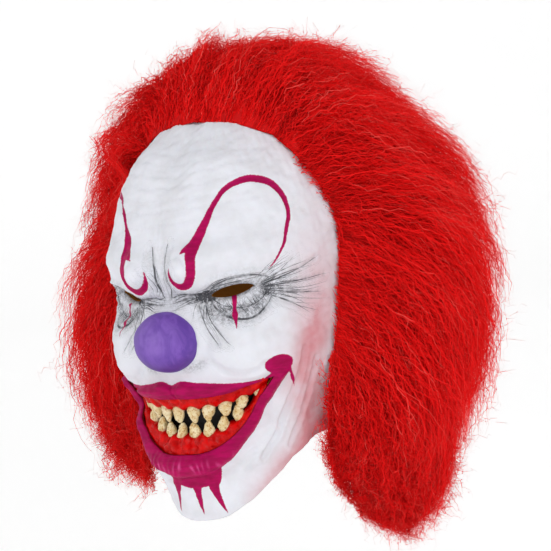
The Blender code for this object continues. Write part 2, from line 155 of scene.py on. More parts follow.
def clamp(x):
    return np.clip(x, 0, 1)


def head_normal(angle, s, stations=HEAD):
    step = 1e-3
    s = np.minimum(s, CROWN - 0.02)
    here = ring_point(stations, angle, s)
    aside, above = ring_point(stations, angle + step, s), ring_point(stations, angle, s + step)
    return unit(np.cross(aside - here, above - here))


STATION_GRID = np.linspace(0, CROWN, 4000)
HEIGHT_GRID = section(HEAD, STATION_GRID)[:, 0]


def station_at(z):
    return np.interp(z, HEIGHT_GRID, STATION_GRID)


def rim_station(angle):
    turn = np.abs(np.arctan2(np.sin(angle), np.cos(angle)))
    chin = np.exp(-((turn / RIM_CHIN_WIDTH) ** 2.4) / 2)
    nape = np.exp(-((math.pi - turn) ** 2))
    return station_at(RIM_JAW + (RIM_CHIN - RIM_JAW) * chin + (RIM_NAPE - RIM_JAW) * nape)


def hairline_angle(z):
    return np.radians(np.interp(z, HAIRLINE[:, 0], HAIRLINE[:, 1]))


def ripple(points, size, seed, waves=9):
    """Smooth pseudo-random values of about -1 to 1 over points, with features of this size."""
    draw = np.random.default_rng(seed)
    total = np.zeros(points.shape[:-1])
    for _ in range(waves):
        way = unit(draw.normal(size=points.shape[-1])) * (2 * math.pi / size) * draw.uniform(0.6, 1.4)
        total += np.sin(points @ way + draw.uniform(0, 2 * math.pi))
    return total / math.sqrt(waves)


# ---------------------------------------------------------------- meshes from arrays
def array_mesh(name, verts, quads, uv=None, slots=None, values=None):
    """An object from arrays: quads as vertex indices, uv per corner, a material slot per face."""
    mesh = bpy.data.meshes.new(name)
    mesh.vertices.add(len(verts))
    mesh.vertices.foreach_set("co", np.ascontiguousarray(verts, np.float32).ravel())
    quads = np.ascontiguousarray(quads, np.int32)
    sides = quads.shape[1]
    mesh.loops.add(quads.size)
    mesh.loops.foreach_set("vertex_index", quads.ravel())
    mesh.polygons.add(len(quads))
    mesh.polygons.foreach_set("loop_start", np.arange(0, quads.size, sides, dtype=np.int32))
    if slots is not None:
        mesh.polygons.foreach_set("material_index", np.ascontiguousarray(slots, np.int32))
    mesh.update(calc_edges=True)
    if uv is not None:
        layer = mesh.uv_layers.new(name="OFBake")
        layer.uv.foreach_set("vector", np.ascontiguousarray(uv, np.float32).ravel())
    for key, data in (values or {}).items():
        made = mesh.attributes.new(key, "FLOAT", "POINT")
        made.data.foreach_set("value", np.ascontiguousarray(data, np.float32).ravel())
    mesh.shade_smooth()
    made = bpy.data.objects.new(name, mesh)
    bpy.context.scene.collection.objects.link(made)
    return made


def grid_quads(columns, rows, start=0):
    """Quads of a grid of (columns + 1) by (rows + 1) points, stored row by row."""
    i, j = np.meshgrid(np.arange(columns), np.arange(rows))
    low = start + (j * (columns + 1) + i).ravel()
    return np.stack([low, low + 1, low + columns + 2, low + columns + 1], -1)


def finish_piece(piece, slot, look, *nodes):
    for material in look if isinstance(look, (list, tuple)) else [look]:
        piece.data.materials.append(material)
    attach(piece, "root")
    if nodes:
        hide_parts(*nodes)
    return piece


# ---------------------------------------------------------------- materials
class Nodes:
    """A small helper to write node trees as expressions."""

    def __init__(self, name):
        self.material = bpy.data.materials.new(name)
        self.material.use_nodes = True
        self.tree = self.material.node_tree
        self.shader = self.tree.nodes["Principled BSDF"]

    def add(self, kind, **settings):
        node = self.tree.nodes.new(kind)
        for key, value in settings.items():
            setattr(node, key, value)
        return node

    def plug(self, socket, value):
        if hasattr(value, "is_output"):
            self.tree.links.new(value, socket)
        elif isinstance(value, (tuple, list)) and len(value) == 3 and socket.type == "RGBA":
            socket.default_value = (*value, 1)
        else:
            socket.default_value = value

    def value(self, name):
        return self.add("ShaderNodeAttribute", attribute_name=name).outputs["Fac"]

    def place(self):
        return self.add("ShaderNodeTexCoord").outputs["Object"]

    def stretch(self, vector, scale):
        node = self.add("ShaderNodeMapping")
        self.plug(node.inputs["Vector"], vector)
        node.inputs["Scale"].default_value = scale
        return node.outputs["Vector"]

    def noise(self, scale, detail=3.0, rough=0.55, vector=None, distortion=0.0):
        node = self.add("ShaderNodeTexNoise")
        self.plug(node.inputs["Vector"], vector if vector is not None else self.place())
        node.inputs["Scale"].default_value = scale
        node.inputs["Detail"].default_value = detail
        node.inputs["Roughness"].default_value = rough
        node.inputs["Distortion"].default_value = distortion
        return node.outputs["Fac"]

    def math(self, operation, a, b=0.0):
        node = self.add("ShaderNodeMath", operation=operation)
        self.plug(node.inputs[0], a)
        self.plug(node.inputs[1], b)
        return node.outputs[0]

    def times(self, a, b):
        return self.math("MULTIPLY", a, b)

    def ramp(self, value, low, high, to_low=0.0, to_high=1.0):
        node = self.add("ShaderNodeMapRange", interpolation_type="SMOOTHSTEP")
        self.plug(node.inputs["Value"], value)
        for key, number in zip(("From Min", "From Max", "To Min", "To Max"), (low, high, to_low, to_high)):
            node.inputs[key].default_value = number
        return node.outputs["Result"]

    def mix(self, amount, a, b):
        node = self.add("ShaderNodeMix", data_type="RGBA")
        self.plug(node.inputs["Factor"], amount)
        self.plug(node.inputs["A"], a)
        self.plug(node.inputs["B"], b)
        return node.outputs["Result"]

    def bump(self, height, distance, strength=1.0, normal=None):
        node = self.add("ShaderNodeBump")
        self.plug(node.inputs["Height"], height)
        node.inputs["Distance"].default_value = distance
        node.inputs["Strength"].default_value = strength
        if normal is not None:
            self.plug(node.inputs["Normal"], normal)
        return node.outputs["Normal"]

    def set(self, **inputs):
        for key, value in inputs.items():
            self.plug(self.shader.inputs[key.replace("_", " ")], value)
        return self.material


WHITE, GREY, ROSE = (0.795, 0.805, 0.865), (0.035, 0.035, 0.042), (0.66, 0.26, 0.29)
MAGENTA, MAGENTA_DEEP, HIGHLIGHT_PINK = (0.46, 0.001, 0.098), (0.33, 0.001, 0.066), (0.78, 0.10, 0.34)


def painted_latex():
    """White latex with airbrushed ink and painted shade, rose blush, brushed magenta paint and a painted
    highlight on the lower lip, from distances on the skin.
    """
    n = Nodes("painted_latex")
    fine = n.noise(900, 4)
    mottle = n.noise(55, 4)
    strokes = n.noise(240, 3, vector=n.stretch(n.place(), (0.35, 0.35, 1.6)))
    colour = n.mix(n.ramp(mottle, 0.35, 0.7), WHITE, (0.73, 0.735, 0.78))
    blush = n.times(n.value("blush"), n.ramp(mottle, 0.2, 0.62, 0.55, 1.0))
    colour = n.mix(n.math("MINIMUM", blush, 0.9), colour, ROSE)
    # grey ink in the wrinkles, with painted shade at the eye corners, slit rims and mouth's edge and a
    # painted shadow under the nose
    ink_and_shade = n.times(n.value("ink_and_shade"), n.ramp(n.noise(520, 3, 0.7), 0.36, 0.62, 0.25, 1.25))
    colour = n.mix(n.math("MINIMUM", ink_and_shade, 0.93), colour, GREY)
    drawn = 0.0
    for group in range(INK_GROUPS):
        away = n.math("ABSOLUTE", n.value(f"line_{group}"))
        drawn = n.math("MAXIMUM", drawn, n.ramp(away, 0.45, 1.6, 1.0, 0.0))
    colour = n.mix(n.times(drawn, n.ramp(n.noise(160, 2), 0.32, 0.58, 0.42, 0.92)), colour, GREY)
    edge = n.math("ADD", n.value("paint"), n.times(n.math("SUBTRACT", fine, 0.5), 0.0009))
    covered = n.ramp(edge, -0.00022, 0.00022, 1.0, 0.0)
    body = n.mix(n.ramp(strokes, 0.35, 0.68), MAGENTA_DEEP, MAGENTA)
    body = n.mix(n.ramp(n.value("paint"), -0.0016, -0.0002, 0.0, 0.55), body, MAGENTA)
    # a painted highlight on the lower lip, in paler pink
    body = n.mix(n.times(n.value("painted_highlight"), n.ramp(mottle, 0.30, 0.55, 0.35, 1.0)), body, HIGHLIGHT_PINK)
    colour = n.mix(covered, colour, body)
    inside = n.ramp(n.value("inward"), 0.35, 0.65)
    raw = n.mix(n.ramp(mottle, 0.3, 0.7), (0.30, 0.12, 0.006), (0.40, 0.18, 0.016))
    colour = n.mix(inside, colour, n.mix(covered, raw, (0.12, 0.001, 0.002)))
    rough = n.math("SUBTRACT", n.ramp(fine, 0.3, 0.7, 0.54, 0.70), n.times(covered, 0.10))
    grain = n.bump(fine, 0.00016, 0.35)
    grain = n.bump(n.noise(170, 5, 0.6), 0.0005, 0.45, grain)
    grain = n.bump(strokes, 0.0003, 0.4, grain)
    return n.set(Base_Color=colour, Roughness=rough, Normal=grain, Specular_IOR_Level=0.11,
                 Subsurface_Weight=0.04, Subsurface_Scale=0.003)


def raw_latex():
    n = Nodes("raw_latex")
    cloud = n.noise(38, 5, 0.6)
    colour = n.mix(n.ramp(cloud, 0.3, 0.7), (0.34, 0.13, 0.008), (0.46, 0.21, 0.026))
    return n.set(Base_Color=colour, Roughness=n.ramp(cloud, 0.3, 0.7, 0.45, 0.6),
                 Normal=n.bump(n.noise(300, 4), 0.0004, 0.5))


def nose_paint():
    n = Nodes("nose_paint")
    brush = n.noise(130, 4, 0.6, vector=n.stretch(n.place(), (1.0, 1.0, 0.35)), distortion=1.2)
    highlight_mottle = n.noise(48, 4, 0.6)
    colour = n.mix(n.ramp(brush, 0.32, 0.7), (0.105, 0.030, 0.33), (0.185, 0.072, 0.45))
    # a painted highlight, then painted shade, over the brushed purple
    colour = n.mix(n.times(n.value("painted_highlight"), n.ramp(highlight_mottle, 0.35, 0.66, 0.25, 1.0)), colour, (0.30, 0.17, 0.58))
    colour = n.mix(n.ramp(n.value("shade"), 0.3, 1.0, 0.0, 0.7), colour, (0.075, 0.018, 0.22))
    grain = n.bump(brush, 0.0003, 0.5, n.bump(n.noise(700, 3), 0.00012, 0.4))
    return n.set(Base_Color=colour, Roughness=n.ramp(brush, 0.3, 0.7, 0.5, 0.62), Normal=grain)


def gum_paint():
    n = Nodes("gum_paint")
    cloud = n.noise(170, 4)
    colour = n.mix(n.ramp(cloud, 0.3, 0.7), (0.44, 0.0006, 0.0006), (0.76, 0.001, 0.0008))
    # painted shade deep by the teeth and under the lip
    colour = n.mix(n.ramp(n.value("shade"), 0.2, 1.0, 0.0, 0.92), colour, (0.05, 0.001, 0.002))
    return n.set(Base_Color=colour, Roughness=n.ramp(cloud, 0.3, 0.7, 0.20, 0.36),
                 Normal=n.bump(cloud, 0.0006, 0.5), Specular_IOR_Level=0.14)


def tooth_paint():
    n = Nodes("tooth_paint")
    pits = n.noise(620, 3, 0.65)
    lumps = n.noise(190, 3)
    colour = n.mix(n.ramp(lumps, 0.3, 0.7), (0.74, 0.56, 0.25), (0.90, 0.80, 0.52))
    colour = n.mix(n.ramp(pits, 0.50, 0.64, 0.0, 0.8), colour, (0.52, 0.26, 0.05))
    # painted shade at the root and the back of each fang
    colour = n.mix(n.ramp(n.value("shade"), 0.45, 1.0, 0.0, 0.9), colour, (0.10, 0.03, 0.008))
    return n.set(Base_Color=colour, Roughness=n.ramp(pits, 0.3, 0.7, 0.38, 0.6),
                 Normal=n.bump(pits, 0.0005, 0.6, n.bump(lumps, 0.0008, 0.5)))


def liner_paint():
    n = Nodes("liner_paint")
    cloud = n.noise(150, 4)
    colour = n.mix(cloud, (0.006, 0.005, 0.006), (0.022, 0.018, 0.020))
    return n.set(Base_Color=colour, Roughness=n.ramp(cloud, 0.3, 0.7, 0.45, 0.7),
                 Normal=n.bump(cloud, 0.0006, 0.5))


def wool(name, dark, mid, light):
    """Crimped fibre: tone runs from 0 at a fibre's root to 1 at its tip, with a step for each fibre; the dark
    roots are painted shade deep in the wig, the pale tips painted light on its outside.
    """
    n = Nodes(name)
    tone = n.value("tone")
    patch = n.noise(30, 3)
    fibre = n.noise(900, 2)
    level = n.math("ADD", tone, n.times(n.math("SUBTRACT", patch, 0.5), 0.5))
    colour = n.mix(n.ramp(level, 0.0, 0.45), dark, mid)
    colour = n.mix(n.ramp(level, 0.80, 1.15, 0.0, 0.8), colour, light)
    return n.set(Base_Color=colour, Roughness=n.ramp(fibre, 0.3, 0.7, 0.60, 0.85), Specular_IOR_Level=0.15)


# ---------------------------------------------------------------- sculpting the face
def bump(a, z, at_angle, at_z, wide, tall):
    return np.exp(-(((a - at_angle) / wide) ** 2) - ((z - at_z) / tall) ** 2)


def plain_relief(a, z):
    """The CAD face's own relief; a in degrees from the middle."""
    fold = np.abs(a - (17 - (z + 0.040) * 560))
    height = 0.004 * bump(a, z, 20, 0.088, 14, 0.026)
    height -= 0.0025 * bump(a, z, 0, 0.088, 8, 0.028)
    height += 0.0075 * bump(a, z, 11, 0.022, 8, 0.013)
    height += 0.0060 * bump(a, z, 27, 0.030, 15, 0.011)
    height -= 0.0100 * bump(a, z, 25, 0.002, 13, 0.011)
    height -= 0.0050 * bump(a, z, 0, 0.004, 6, 0.010)
    height += 0.0065 * bump(a, z, 31, -0.030, 15, 0.020)
    height -= 0.0035 * bell(fold, 5) * bump(0, z, 0, -0.058, 1, 0.024)
    height -= 0.0040 * bump(a, z, 0, -0.075, 26, 0.034)
    height += 0.0045 * bump(a, z, 0, -0.103, 24, 0.009)
    height += 0.0045 * bump(a, z, 0, -0.131, 15, 0.014)
    height -= 0.0040 * bump(a, z, 62, -0.075, 16, 0.035)
    height -= 0.0042 * bump(a, z, 36, -0.064, 14, 0.016)
    return np.where(a > 88, 0.0, height)


def curve_through(points, steps=8):
    """A smooth line through chart points, given as (degrees, millimetres, width in millimetres)."""
    p = np.array(points, float)
    p = np.vstack([2 * p[0] - p[1], p, 2 * p[-1] - p[-2]])
    line = []
    for a, b, c, d in zip(p, p[1:], p[2:], p[3:]):
        for f in np.arange(steps) / steps:
            line.append(0.5 * (2 * b + (c - a) * f + (2 * a - 5 * b + 4 * c - d) * f**2
                               + (3 * b - a - 3 * c + d) * f**3))
    line.append(p[-2])
    line = np.array(line)
    return np.stack([np.radians(line[:, 0]) * CHART_RADIUS, line[:, 1] / 1000, line[:, 2] / 2000], -1)


def stroke(u, z, points, steps=8):
    """Signed distance to a brushed line whose width changes along it: negative inside."""
    line = curve_through(points, steps)
    best = np.full(u.shape, 1.0)
    reach = line[:, 2].max() + 0.012
    near = ((u > line[:, 0].min() - reach) & (u < line[:, 0].max() + reach)
            & (z > line[:, 1].min() - reach) & (z < line[:, 1].max() + reach))
    here = np.stack([u[near], z[near]], -1)
    found = np.full(len(here), 1.0)
    for (u0, z0, w0), (u1, z1, w1) in zip(line, line[1:]):
        start, way = np.array([u0, z0]), np.array([u1 - u0, z1 - z0])
        t = clamp(((here - start) @ way) / max(way @ way, 1e-12))
        gap = np.linalg.norm(here - start - t[:, None] * way, axis=-1)
        found = np.minimum(found, gap - (w0 + (w1 - w0) * t))
    best[near] = found
    return best


def oval(u, z, degrees, height, half_wide, half_tall, tilt=0.0):
    """Rough signed distance to an oval in the chart; sizes in metres, tilt in degrees."""
    du, dz = u - math.radians(degrees) * CHART_RADIUS, z - height
    c, s = math.cos(math.radians(tilt)), math.sin(math.radians(tilt))
    p, q = (du * c + dz * s) / half_wide, (dz * c - du * s) / half_tall
    r = np.sqrt(p**2 + q**2)
    return (r - 1) * min(half_wide, half_tall)


def mouth_x(u):
    return MOUTH_RADIUS * np.sin(np.clip(u / CHART_RADIUS, -1.5, 1.5))


def mouth_edge(x, middle):
    return middle + (MOUTH_CORNER - middle) * np.abs(x / MOUTH_HALF_WIDTH) ** MOUTH_CURVE


LIP_REACH = 0.0663  # from the middle of the mouth to the end of the painted lips
LIP_BOTTOM, LIP_RISE, LIP_POWER = -0.1135, 0.0645, 2.2  # the curve of their lower outline
LIP_SLOPE = 2.14  # steepness of that curve at its end


def lip_top(x):
    """Upper outline of the painted lips, with its bow."""
    bow = x + 0.0025
    top = -0.0508 - 0.0026 * bell(np.abs(x) - 0.040, 0.016)
    top += 0.0013 * bell(np.abs(bow) - 0.0085, 0.0055) - 0.0013 * bell(bow, 0.0035)
    return top + 0.004 * clamp((np.abs(x) - 0.054) / 0.004)


def mouth_sides(u, z):
    """Signed distances to the mouth opening and to the painted lips round it."""
    x = mouth_x(u)
    far = np.abs(x)
    t = clamp(far / MOUTH_HALF_WIDTH)
    steepest = MOUTH_CURVE * (MOUTH_CORNER - MOUTH_BOTTOM) / MOUTH_HALF_WIDTH
    lean = np.hypot(1, steepest * t ** (MOUTH_CURVE - 1))
    top, low = mouth_edge(x, MOUTH_TOP), mouth_edge(x, MOUTH_BOTTOM)
    opening = np.where(
        far > MOUTH_HALF_WIDTH, np.hypot(far - MOUTH_HALF_WIDTH, z - MOUTH_CORNER),
        np.maximum(z - top, (low - z) / lean),
    )
    r = far / LIP_REACH
    bottom = LIP_BOTTOM + LIP_RISE * r**LIP_POWER
    lips = np.maximum(z - lip_top(x), (bottom - z) / np.hypot(1, LIP_SLOPE * r**1.2))
    return opening, lips


def eye_sides(u, z):
    """Signed distance to the eye slit of this side, and the slit's own along and across coordinates."""
    du = np.abs(u) - math.radians(EYE_ANGLE) * CHART_RADIUS
    dz = z - EYE_HEIGHT
    c, s = math.cos(EYE_TILT), math.sin(EYE_TILT)
    p, q = du * c + dz * s, dz * c - du * s
    half = EYE_LENGTH / 2
    t = clamp(np.abs(p) / half)
    lid = EYE_OPEN / 2 * (1 - t**2) ** LID_POWER
    slit = np.where(np.abs(p) > half, np.hypot(np.abs(p) - half, q), np.abs(q) - lid)
    return slit, p / half, q


# The brow curl: round a raised ball, up past a thorn, and over in a wide arch to a thin tip
BROW_CURL = [
    (5.0, 24.5, 0.4), (4.9, 20.0, 1.8), (6.2, 15.0, 3.2), (8.6, 12.0, 4.2), (11.2, 13.0, 4.8),
    (13.0, 18.5, 4.7), (13.4, 25.0, 5.0), (13.4, 31.0, 5.8), (14.3, 38.0, 7.0), (16.3, 46.0, 5.8),
    (18.4, 53.0, 4.5), (20.3, 60.0, 3.5), (22.4, 65.2, 3.1), (24.8, 70.0, 3.2), (28.4, 73.7, 3.6),
    (32.6, 76.0, 4.2), (36.8, 76.8, 4.6), (41.2, 75.6, 4.8), (44.7, 72.8, 4.8), (47.7, 68.2, 4.4),
    (49.6, 63.0, 4.0), (50.3, 57.0, 3.5), (50.1, 51.0, 3.2), (48.8, 44.5, 2.8), (47.1, 36.0, 2.2),
    (44.3, 28.5, 1.6), (41.9, 22.5, 1.1), (39.4, 18.2, 0.4),
]
BROW_THORN = [(14.0, 38.5, 5.5), (11.8, 35.6, 4.0), (9.6, 32.2, 0.5)]
BROW_BALL = (8.9, 0.0222, 0.0047, 0.0084, 8)
TEAR = [(26.4, 2.0, 3.6), (26.2, -2.5, 2.8), (26.0, -5.5, 2.0), (26.0, -8.8, 3.8), (26.0, -12.0, 2.2),
        (26.2, -17.5, 0.4)]
CORNER_BLOB = (40.6, -0.0428, 0.0096, 0.0063, 4)
CORNER_DRIP = [(44.6, -45.5, 3.0), (45.8, -49.5, 1.8), (46.5, -53.0, 2.4), (47.4, -57.0, 1.8),
               (48.0, -60.0, 0.3)]
CHIN_DRIPS = [
    [(-6.3, -107, 10), (-6.6, -113, 9), (-6.2, -118, 6.6), (-6.6, -123, 4.0), (-7.6, -129, 2.6),
     (-9.2, -137, 0.4)],
    [(2.4, -108, 10), (2.8, -113, 9), (3.0, -118, 7.0), (3.4, -123, 4.4), (3.5, -129, 2.8), (3.2, -138, 0.4)],
    [(11.4, -106, 11), (11.0, -113, 9.5), (10.2, -118, 7.0), (10.4, -123, 5.2), (11.2, -129, 3.4),
     (12.8, -138, 0.4)],
]
CHIN_POOL = (2.4, -0.1100, 0.0180, 0.0102, 0)

# Wrinkles: points (degrees, millimetres, width), then depth in millimetres and ink from 0 to 1.
# Each is cut on both sides of the face.
WRINKLES = [
    # frown folds over the nose
    ([(1.6, 6, 1), (2.6, 14, 1.6), (2.2, 26, 1.4), (3.4, 40, 0.8)], 1.0, 0.30),
    ([(5.0, 7, 1), (5.6, 14, 1.2), (4.6, 24, 1.2), (5.4, 38, 0.6)], 0.7, 0.18),
    ([(0.0, 30, 0.8), (1.4, 44, 0.8), (0.6, 56, 0.5)], 0.4, 0.08),
    # under the brow knot, towards the inner corner of the eye
    ([(3.0, 5.5, 0.8), (7.0, 6.8, 1.2), (12.0, 6.0, 1.8), (16.5, 5.6, 1.6)], 1.2, 0.62),
    ([(2.0, 1.5, 0.6), (7.0, 2.4, 0.8), (12.5, 2.6, 0.9)], 0.5, 0.30),
    ([(3.5, -3.0, 0.5), (8.0, -0.4, 0.7), (12.5, 1.0, 0.8)], 0.4, 0.25),
    # lid folds over the slit
    ([(16.0, 6.0, 1.2), (20.5, 11.5, 1.6), (26.0, 14.9, 1.6), (33.0, 15.9, 1.4),
      (40.0, 13.5, 0.8)], 1.3, 0.34),
    ([(19.0, 15.5, 0.8), (25.0, 19.0, 1.0), (33.0, 20.0, 0.9), (42.0, 17.5, 0.5)], 0.6, 0.14),
    # the dark bag under the eye
    ([(16.5, 2.5, 1.2), (19.5, -5.0, 1.8), (25.0, -11.0, 2.0), (32.0, -11.5, 1.8), (38.0, -5.0, 1.2),
      (41.0, 2.0, 0.6)], 0.9, 0.42),
    ([(18.0, 1.5, 0.8), (22.5, -3.3, 1.0), (29.0, -5.1, 1.0), (35.0, -2.1, 0.8),
      (39.0, 3.5, 0.5)], 0.6, 0.32),
    ([(16.0, -1.5, 0.6), (19.0, -9.5, 0.8), (24.5, -16.0, 0.8), (31.0, -17.0, 0.5)], 0.35, 0.16),
    # crow's feet
    ([(37.5, 9.5, 1.2), (44.0, 12.5, 1.1), (52.0, 16.5, 0.9), (60.0, 22.5, 0.5)], 0.7, 0.42),
    ([(38.0, 7.5, 1.2), (45.0, 8.3, 1.0), (54.0, 9.5, 0.8), (64.0, 11.5, 0.4)], 0.7, 0.42),
    ([(38.0, 5.5, 1.1), (44.0, 3.5, 1.0), (52.0, 1.5, 0.8), (61.0, 0.5, 0.4)], 0.6, 0.36),
    ([(39.0, 3.0, 0.9), (44.0, -1.5, 0.8), (50.0, -6.5, 0.6), (57.0, -10.5, 0.4)], 0.5, 0.24),
    ([(40.0, 12.0, 0.8), (45.0, 18.0, 0.7), (50.0, 24.5, 0.4)], 0.4, 0.22),
    # beside the nose and down the cheek
    ([(12.5, 1.5, 0.9), (13.6, -7.5, 1.2), (16.0, -17.5, 1.2), (19.0, -26.5, 0.8)], 0.7, 0.26),
    ([(15.2, -0.5, 0.8), (16.6, -9.5, 1.0), (19.5, -18.5, 0.9), (23.0, -26.5, 0.5)], 0.5, 0.24),
    ([(16.0, -38.0, 1.4), (22.0, -46.0, 2.2), (31.0, -46.0, 2.0), (36.0, -40.0, 1.0)], 0.9, 0.05),
    ([(52.0, -34.0, 1.2), (50.5, -50.0, 2.4), (46.0, -68.0, 2.8), (39.0, -88.0, 2.2),
      (31.0, -104.0, 1.2)], 1.5, 0.04),
    ([(58.0, -42.0, 1.0), (56.0, -60.0, 1.8), (51.0, -80.0, 1.8), (44.0, -97.0, 1.0)], 1.0, 0.03),
    ([(10.0, -113.0, 1.5), (20.0, -108.0, 2.2), (28.0, -98.0, 1.4)], 0.9, 0.04),
]
# Fans of fine inked lines: where the first goes from and to, the last, how many, their width in
# millimetres, their bend in millimetres and how dark they are
FANS = [
    # crow's feet, long and short
    ((36.5, 11.5), (57.0, 24.0), (37.0, 2.0), (54.0, -13.0), 9, 0.55, 1.2, 0.72),
    ((44.0, 13.0), (65.0, 20.0), (44.0, -2.0), (62.0, -9.0), 8, 0.38, -1.0, 0.50),
    ((37.5, 9.0), (45.0, 13.0), (37.0, 4.0), (43.0, -5.0), 6, 0.45, 0.6, 0.60),
    # under the slit, slanting away from the nose
    ((17.0, -0.5), (20.0, -12.0), (37.5, 3.0), (41.0, -5.5), 19, 0.42, -0.9, 0.55),
    ((18.5, -5.5), (22.5, -11.5), (36.0, -2.0), (38.5, -8.5), 14, 0.36, 0.8, 0.50),
    # into the inner corner, from the knot of the brow and from the nose
    ((3.5, 6.5), (15.0, 6.2), (6.5, -2.5), (15.0, 2.6), 6, 0.60, 0.7, 0.78),
    ((13.5, 4.5), (9.8, -9.0), (17.5, 0.0), (18.5, -15.0), 7, 0.42, -0.7, 0.58),
    # folds of the upper lid, along the slit
    ((14.5, 7.0), (38.5, 13.4), (18.0, 11.0), (42.0, 17.5), 5, 0.46, 2.6, 0.62),
    ((33.0, 12.5), (46.0, 28.0), (37.5, 11.0), (51.0, 24.0), 5, 0.34, 0.8, 0.42),
    # between the brows
    ((0.6, 9.0), (1.2, 33.0), (5.6, 8.0), (6.6, 31.0), 5, 0.34, 0.8, 0.32),
    # down the cheek beside the ball nose
    ((13.0, -8.0), (17.5, -26.0), (18.0, -14.0), (26.0, -30.0), 4, 0.34, 0.8, 0.26),
]
FOREHEAD_LINES = [  # height in the middle, rise of the sides, depth, reach in degrees
    (52, 4, 0.20, 26), (60, 6, 0.28, 34), (67, 5, 0.20, 40), (75, 7, 0.28, 40), (83, 6, 0.20, 42),
    (90, 6, 0.24, 44), (97, 5, 0.18, 40), (104, 4, 0.16, 36),
]


def fan_lines():
    """The inked lines of every fan as short strokes, each with its darkness."""
    draw = np.random.default_rng(41)
    lines = []
    for first_from, first_to, last_from, last_to, count, width, bend, dark in FANS:
        for k in range(count):
            f = (k + 0.5 + draw.uniform(-0.3, 0.3)) / count
            start = np.array(first_from) * (1 - f) + np.array(last_from) * f + draw.normal(size=2) * 0.35
            end = np.array(first_to) * (1 - f) + np.array(last_to) * f
            end = start + (end - start) * draw.uniform(0.55, 1.08) + draw.normal(size=2) * 0.7
            along = (end - start) / max(np.hypot(*(end - start)), 1e-6)
            aside = np.array([-along[1], along[0]]) * bend * draw.uniform(0.4, 1.5)
            points = [(*start, width * 0.5), (*(start * 0.65 + end * 0.35 + aside), width),
                      (*(start * 0.3 + end * 0.7 + aside * 0.8), width * 0.7), (*end, 0.1)]
            lines.append((points, dark * draw.uniform(0.65, 1.15)))
    return lines


INK_GROUPS = 6


def inked_lines(u, z, lines):
    """Signed distances in half widths to the nearest line, for groups of lines that lie well apart."""
    placed = [[] for _ in range(INK_GROUPS)]
    fields = [np.full(u.shape, 30.0) for _ in range(INK_GROUPS)]
    nearest = [np.full(u.shape, 0.005) for _ in range(INK_GROUPS)]
    for points in lines:
        line = curve_through(points, 4)
        spread = [
            [np.linalg.norm(line[:, None, :2] - other[None, :, :2], axis=-1).min() for other in group]
            for group in placed
        ]
        apart = [min(gaps, default=1.0) for gaps in spread]
        group = int(np.argmax(apart))
        placed[group].append(line)
        low, high = line[:, :2].min(0) - 0.005, line[:, :2].max(0) + 0.005
        inside = (u > low[0]) & (u < high[0]) & (z > low[1]) & (z < high[1])
        here = np.stack([u[inside], z[inside]], -1)
        best, signed = nearest[group][inside], fields[group][inside]
        for (u0, z0, w0), (u1, z1, w1) in zip(line, line[1:]):
            start, way = np.array([u0, z0]), np.array([u1 - u0, z1 - z0])
            share = clamp(((here - start) @ way) / max(way @ way, 1e-12))
            off = here - start - share[:, None] * way
            gap = np.hypot(off[:, 0], off[:, 1])
            side = np.where(way[0] * off[:, 1] - way[1] * off[:, 0] < 0, -1.0, 1.0)
            closer = gap < best
            best = np.where(closer, gap, best)
            signed = np.where(closer, side * gap / np.maximum(w0 + (w1 - w0) * share, 0.00004), signed)
        nearest[group][inside], fields[group][inside] = best, signed
    return {f"line_{group}": np.clip(field, -30, 30) for group, field in enumerate(fields)}


SIDE_DROP = 0.0011  # half of how much lower the paint sits on the mask's right side than on its left


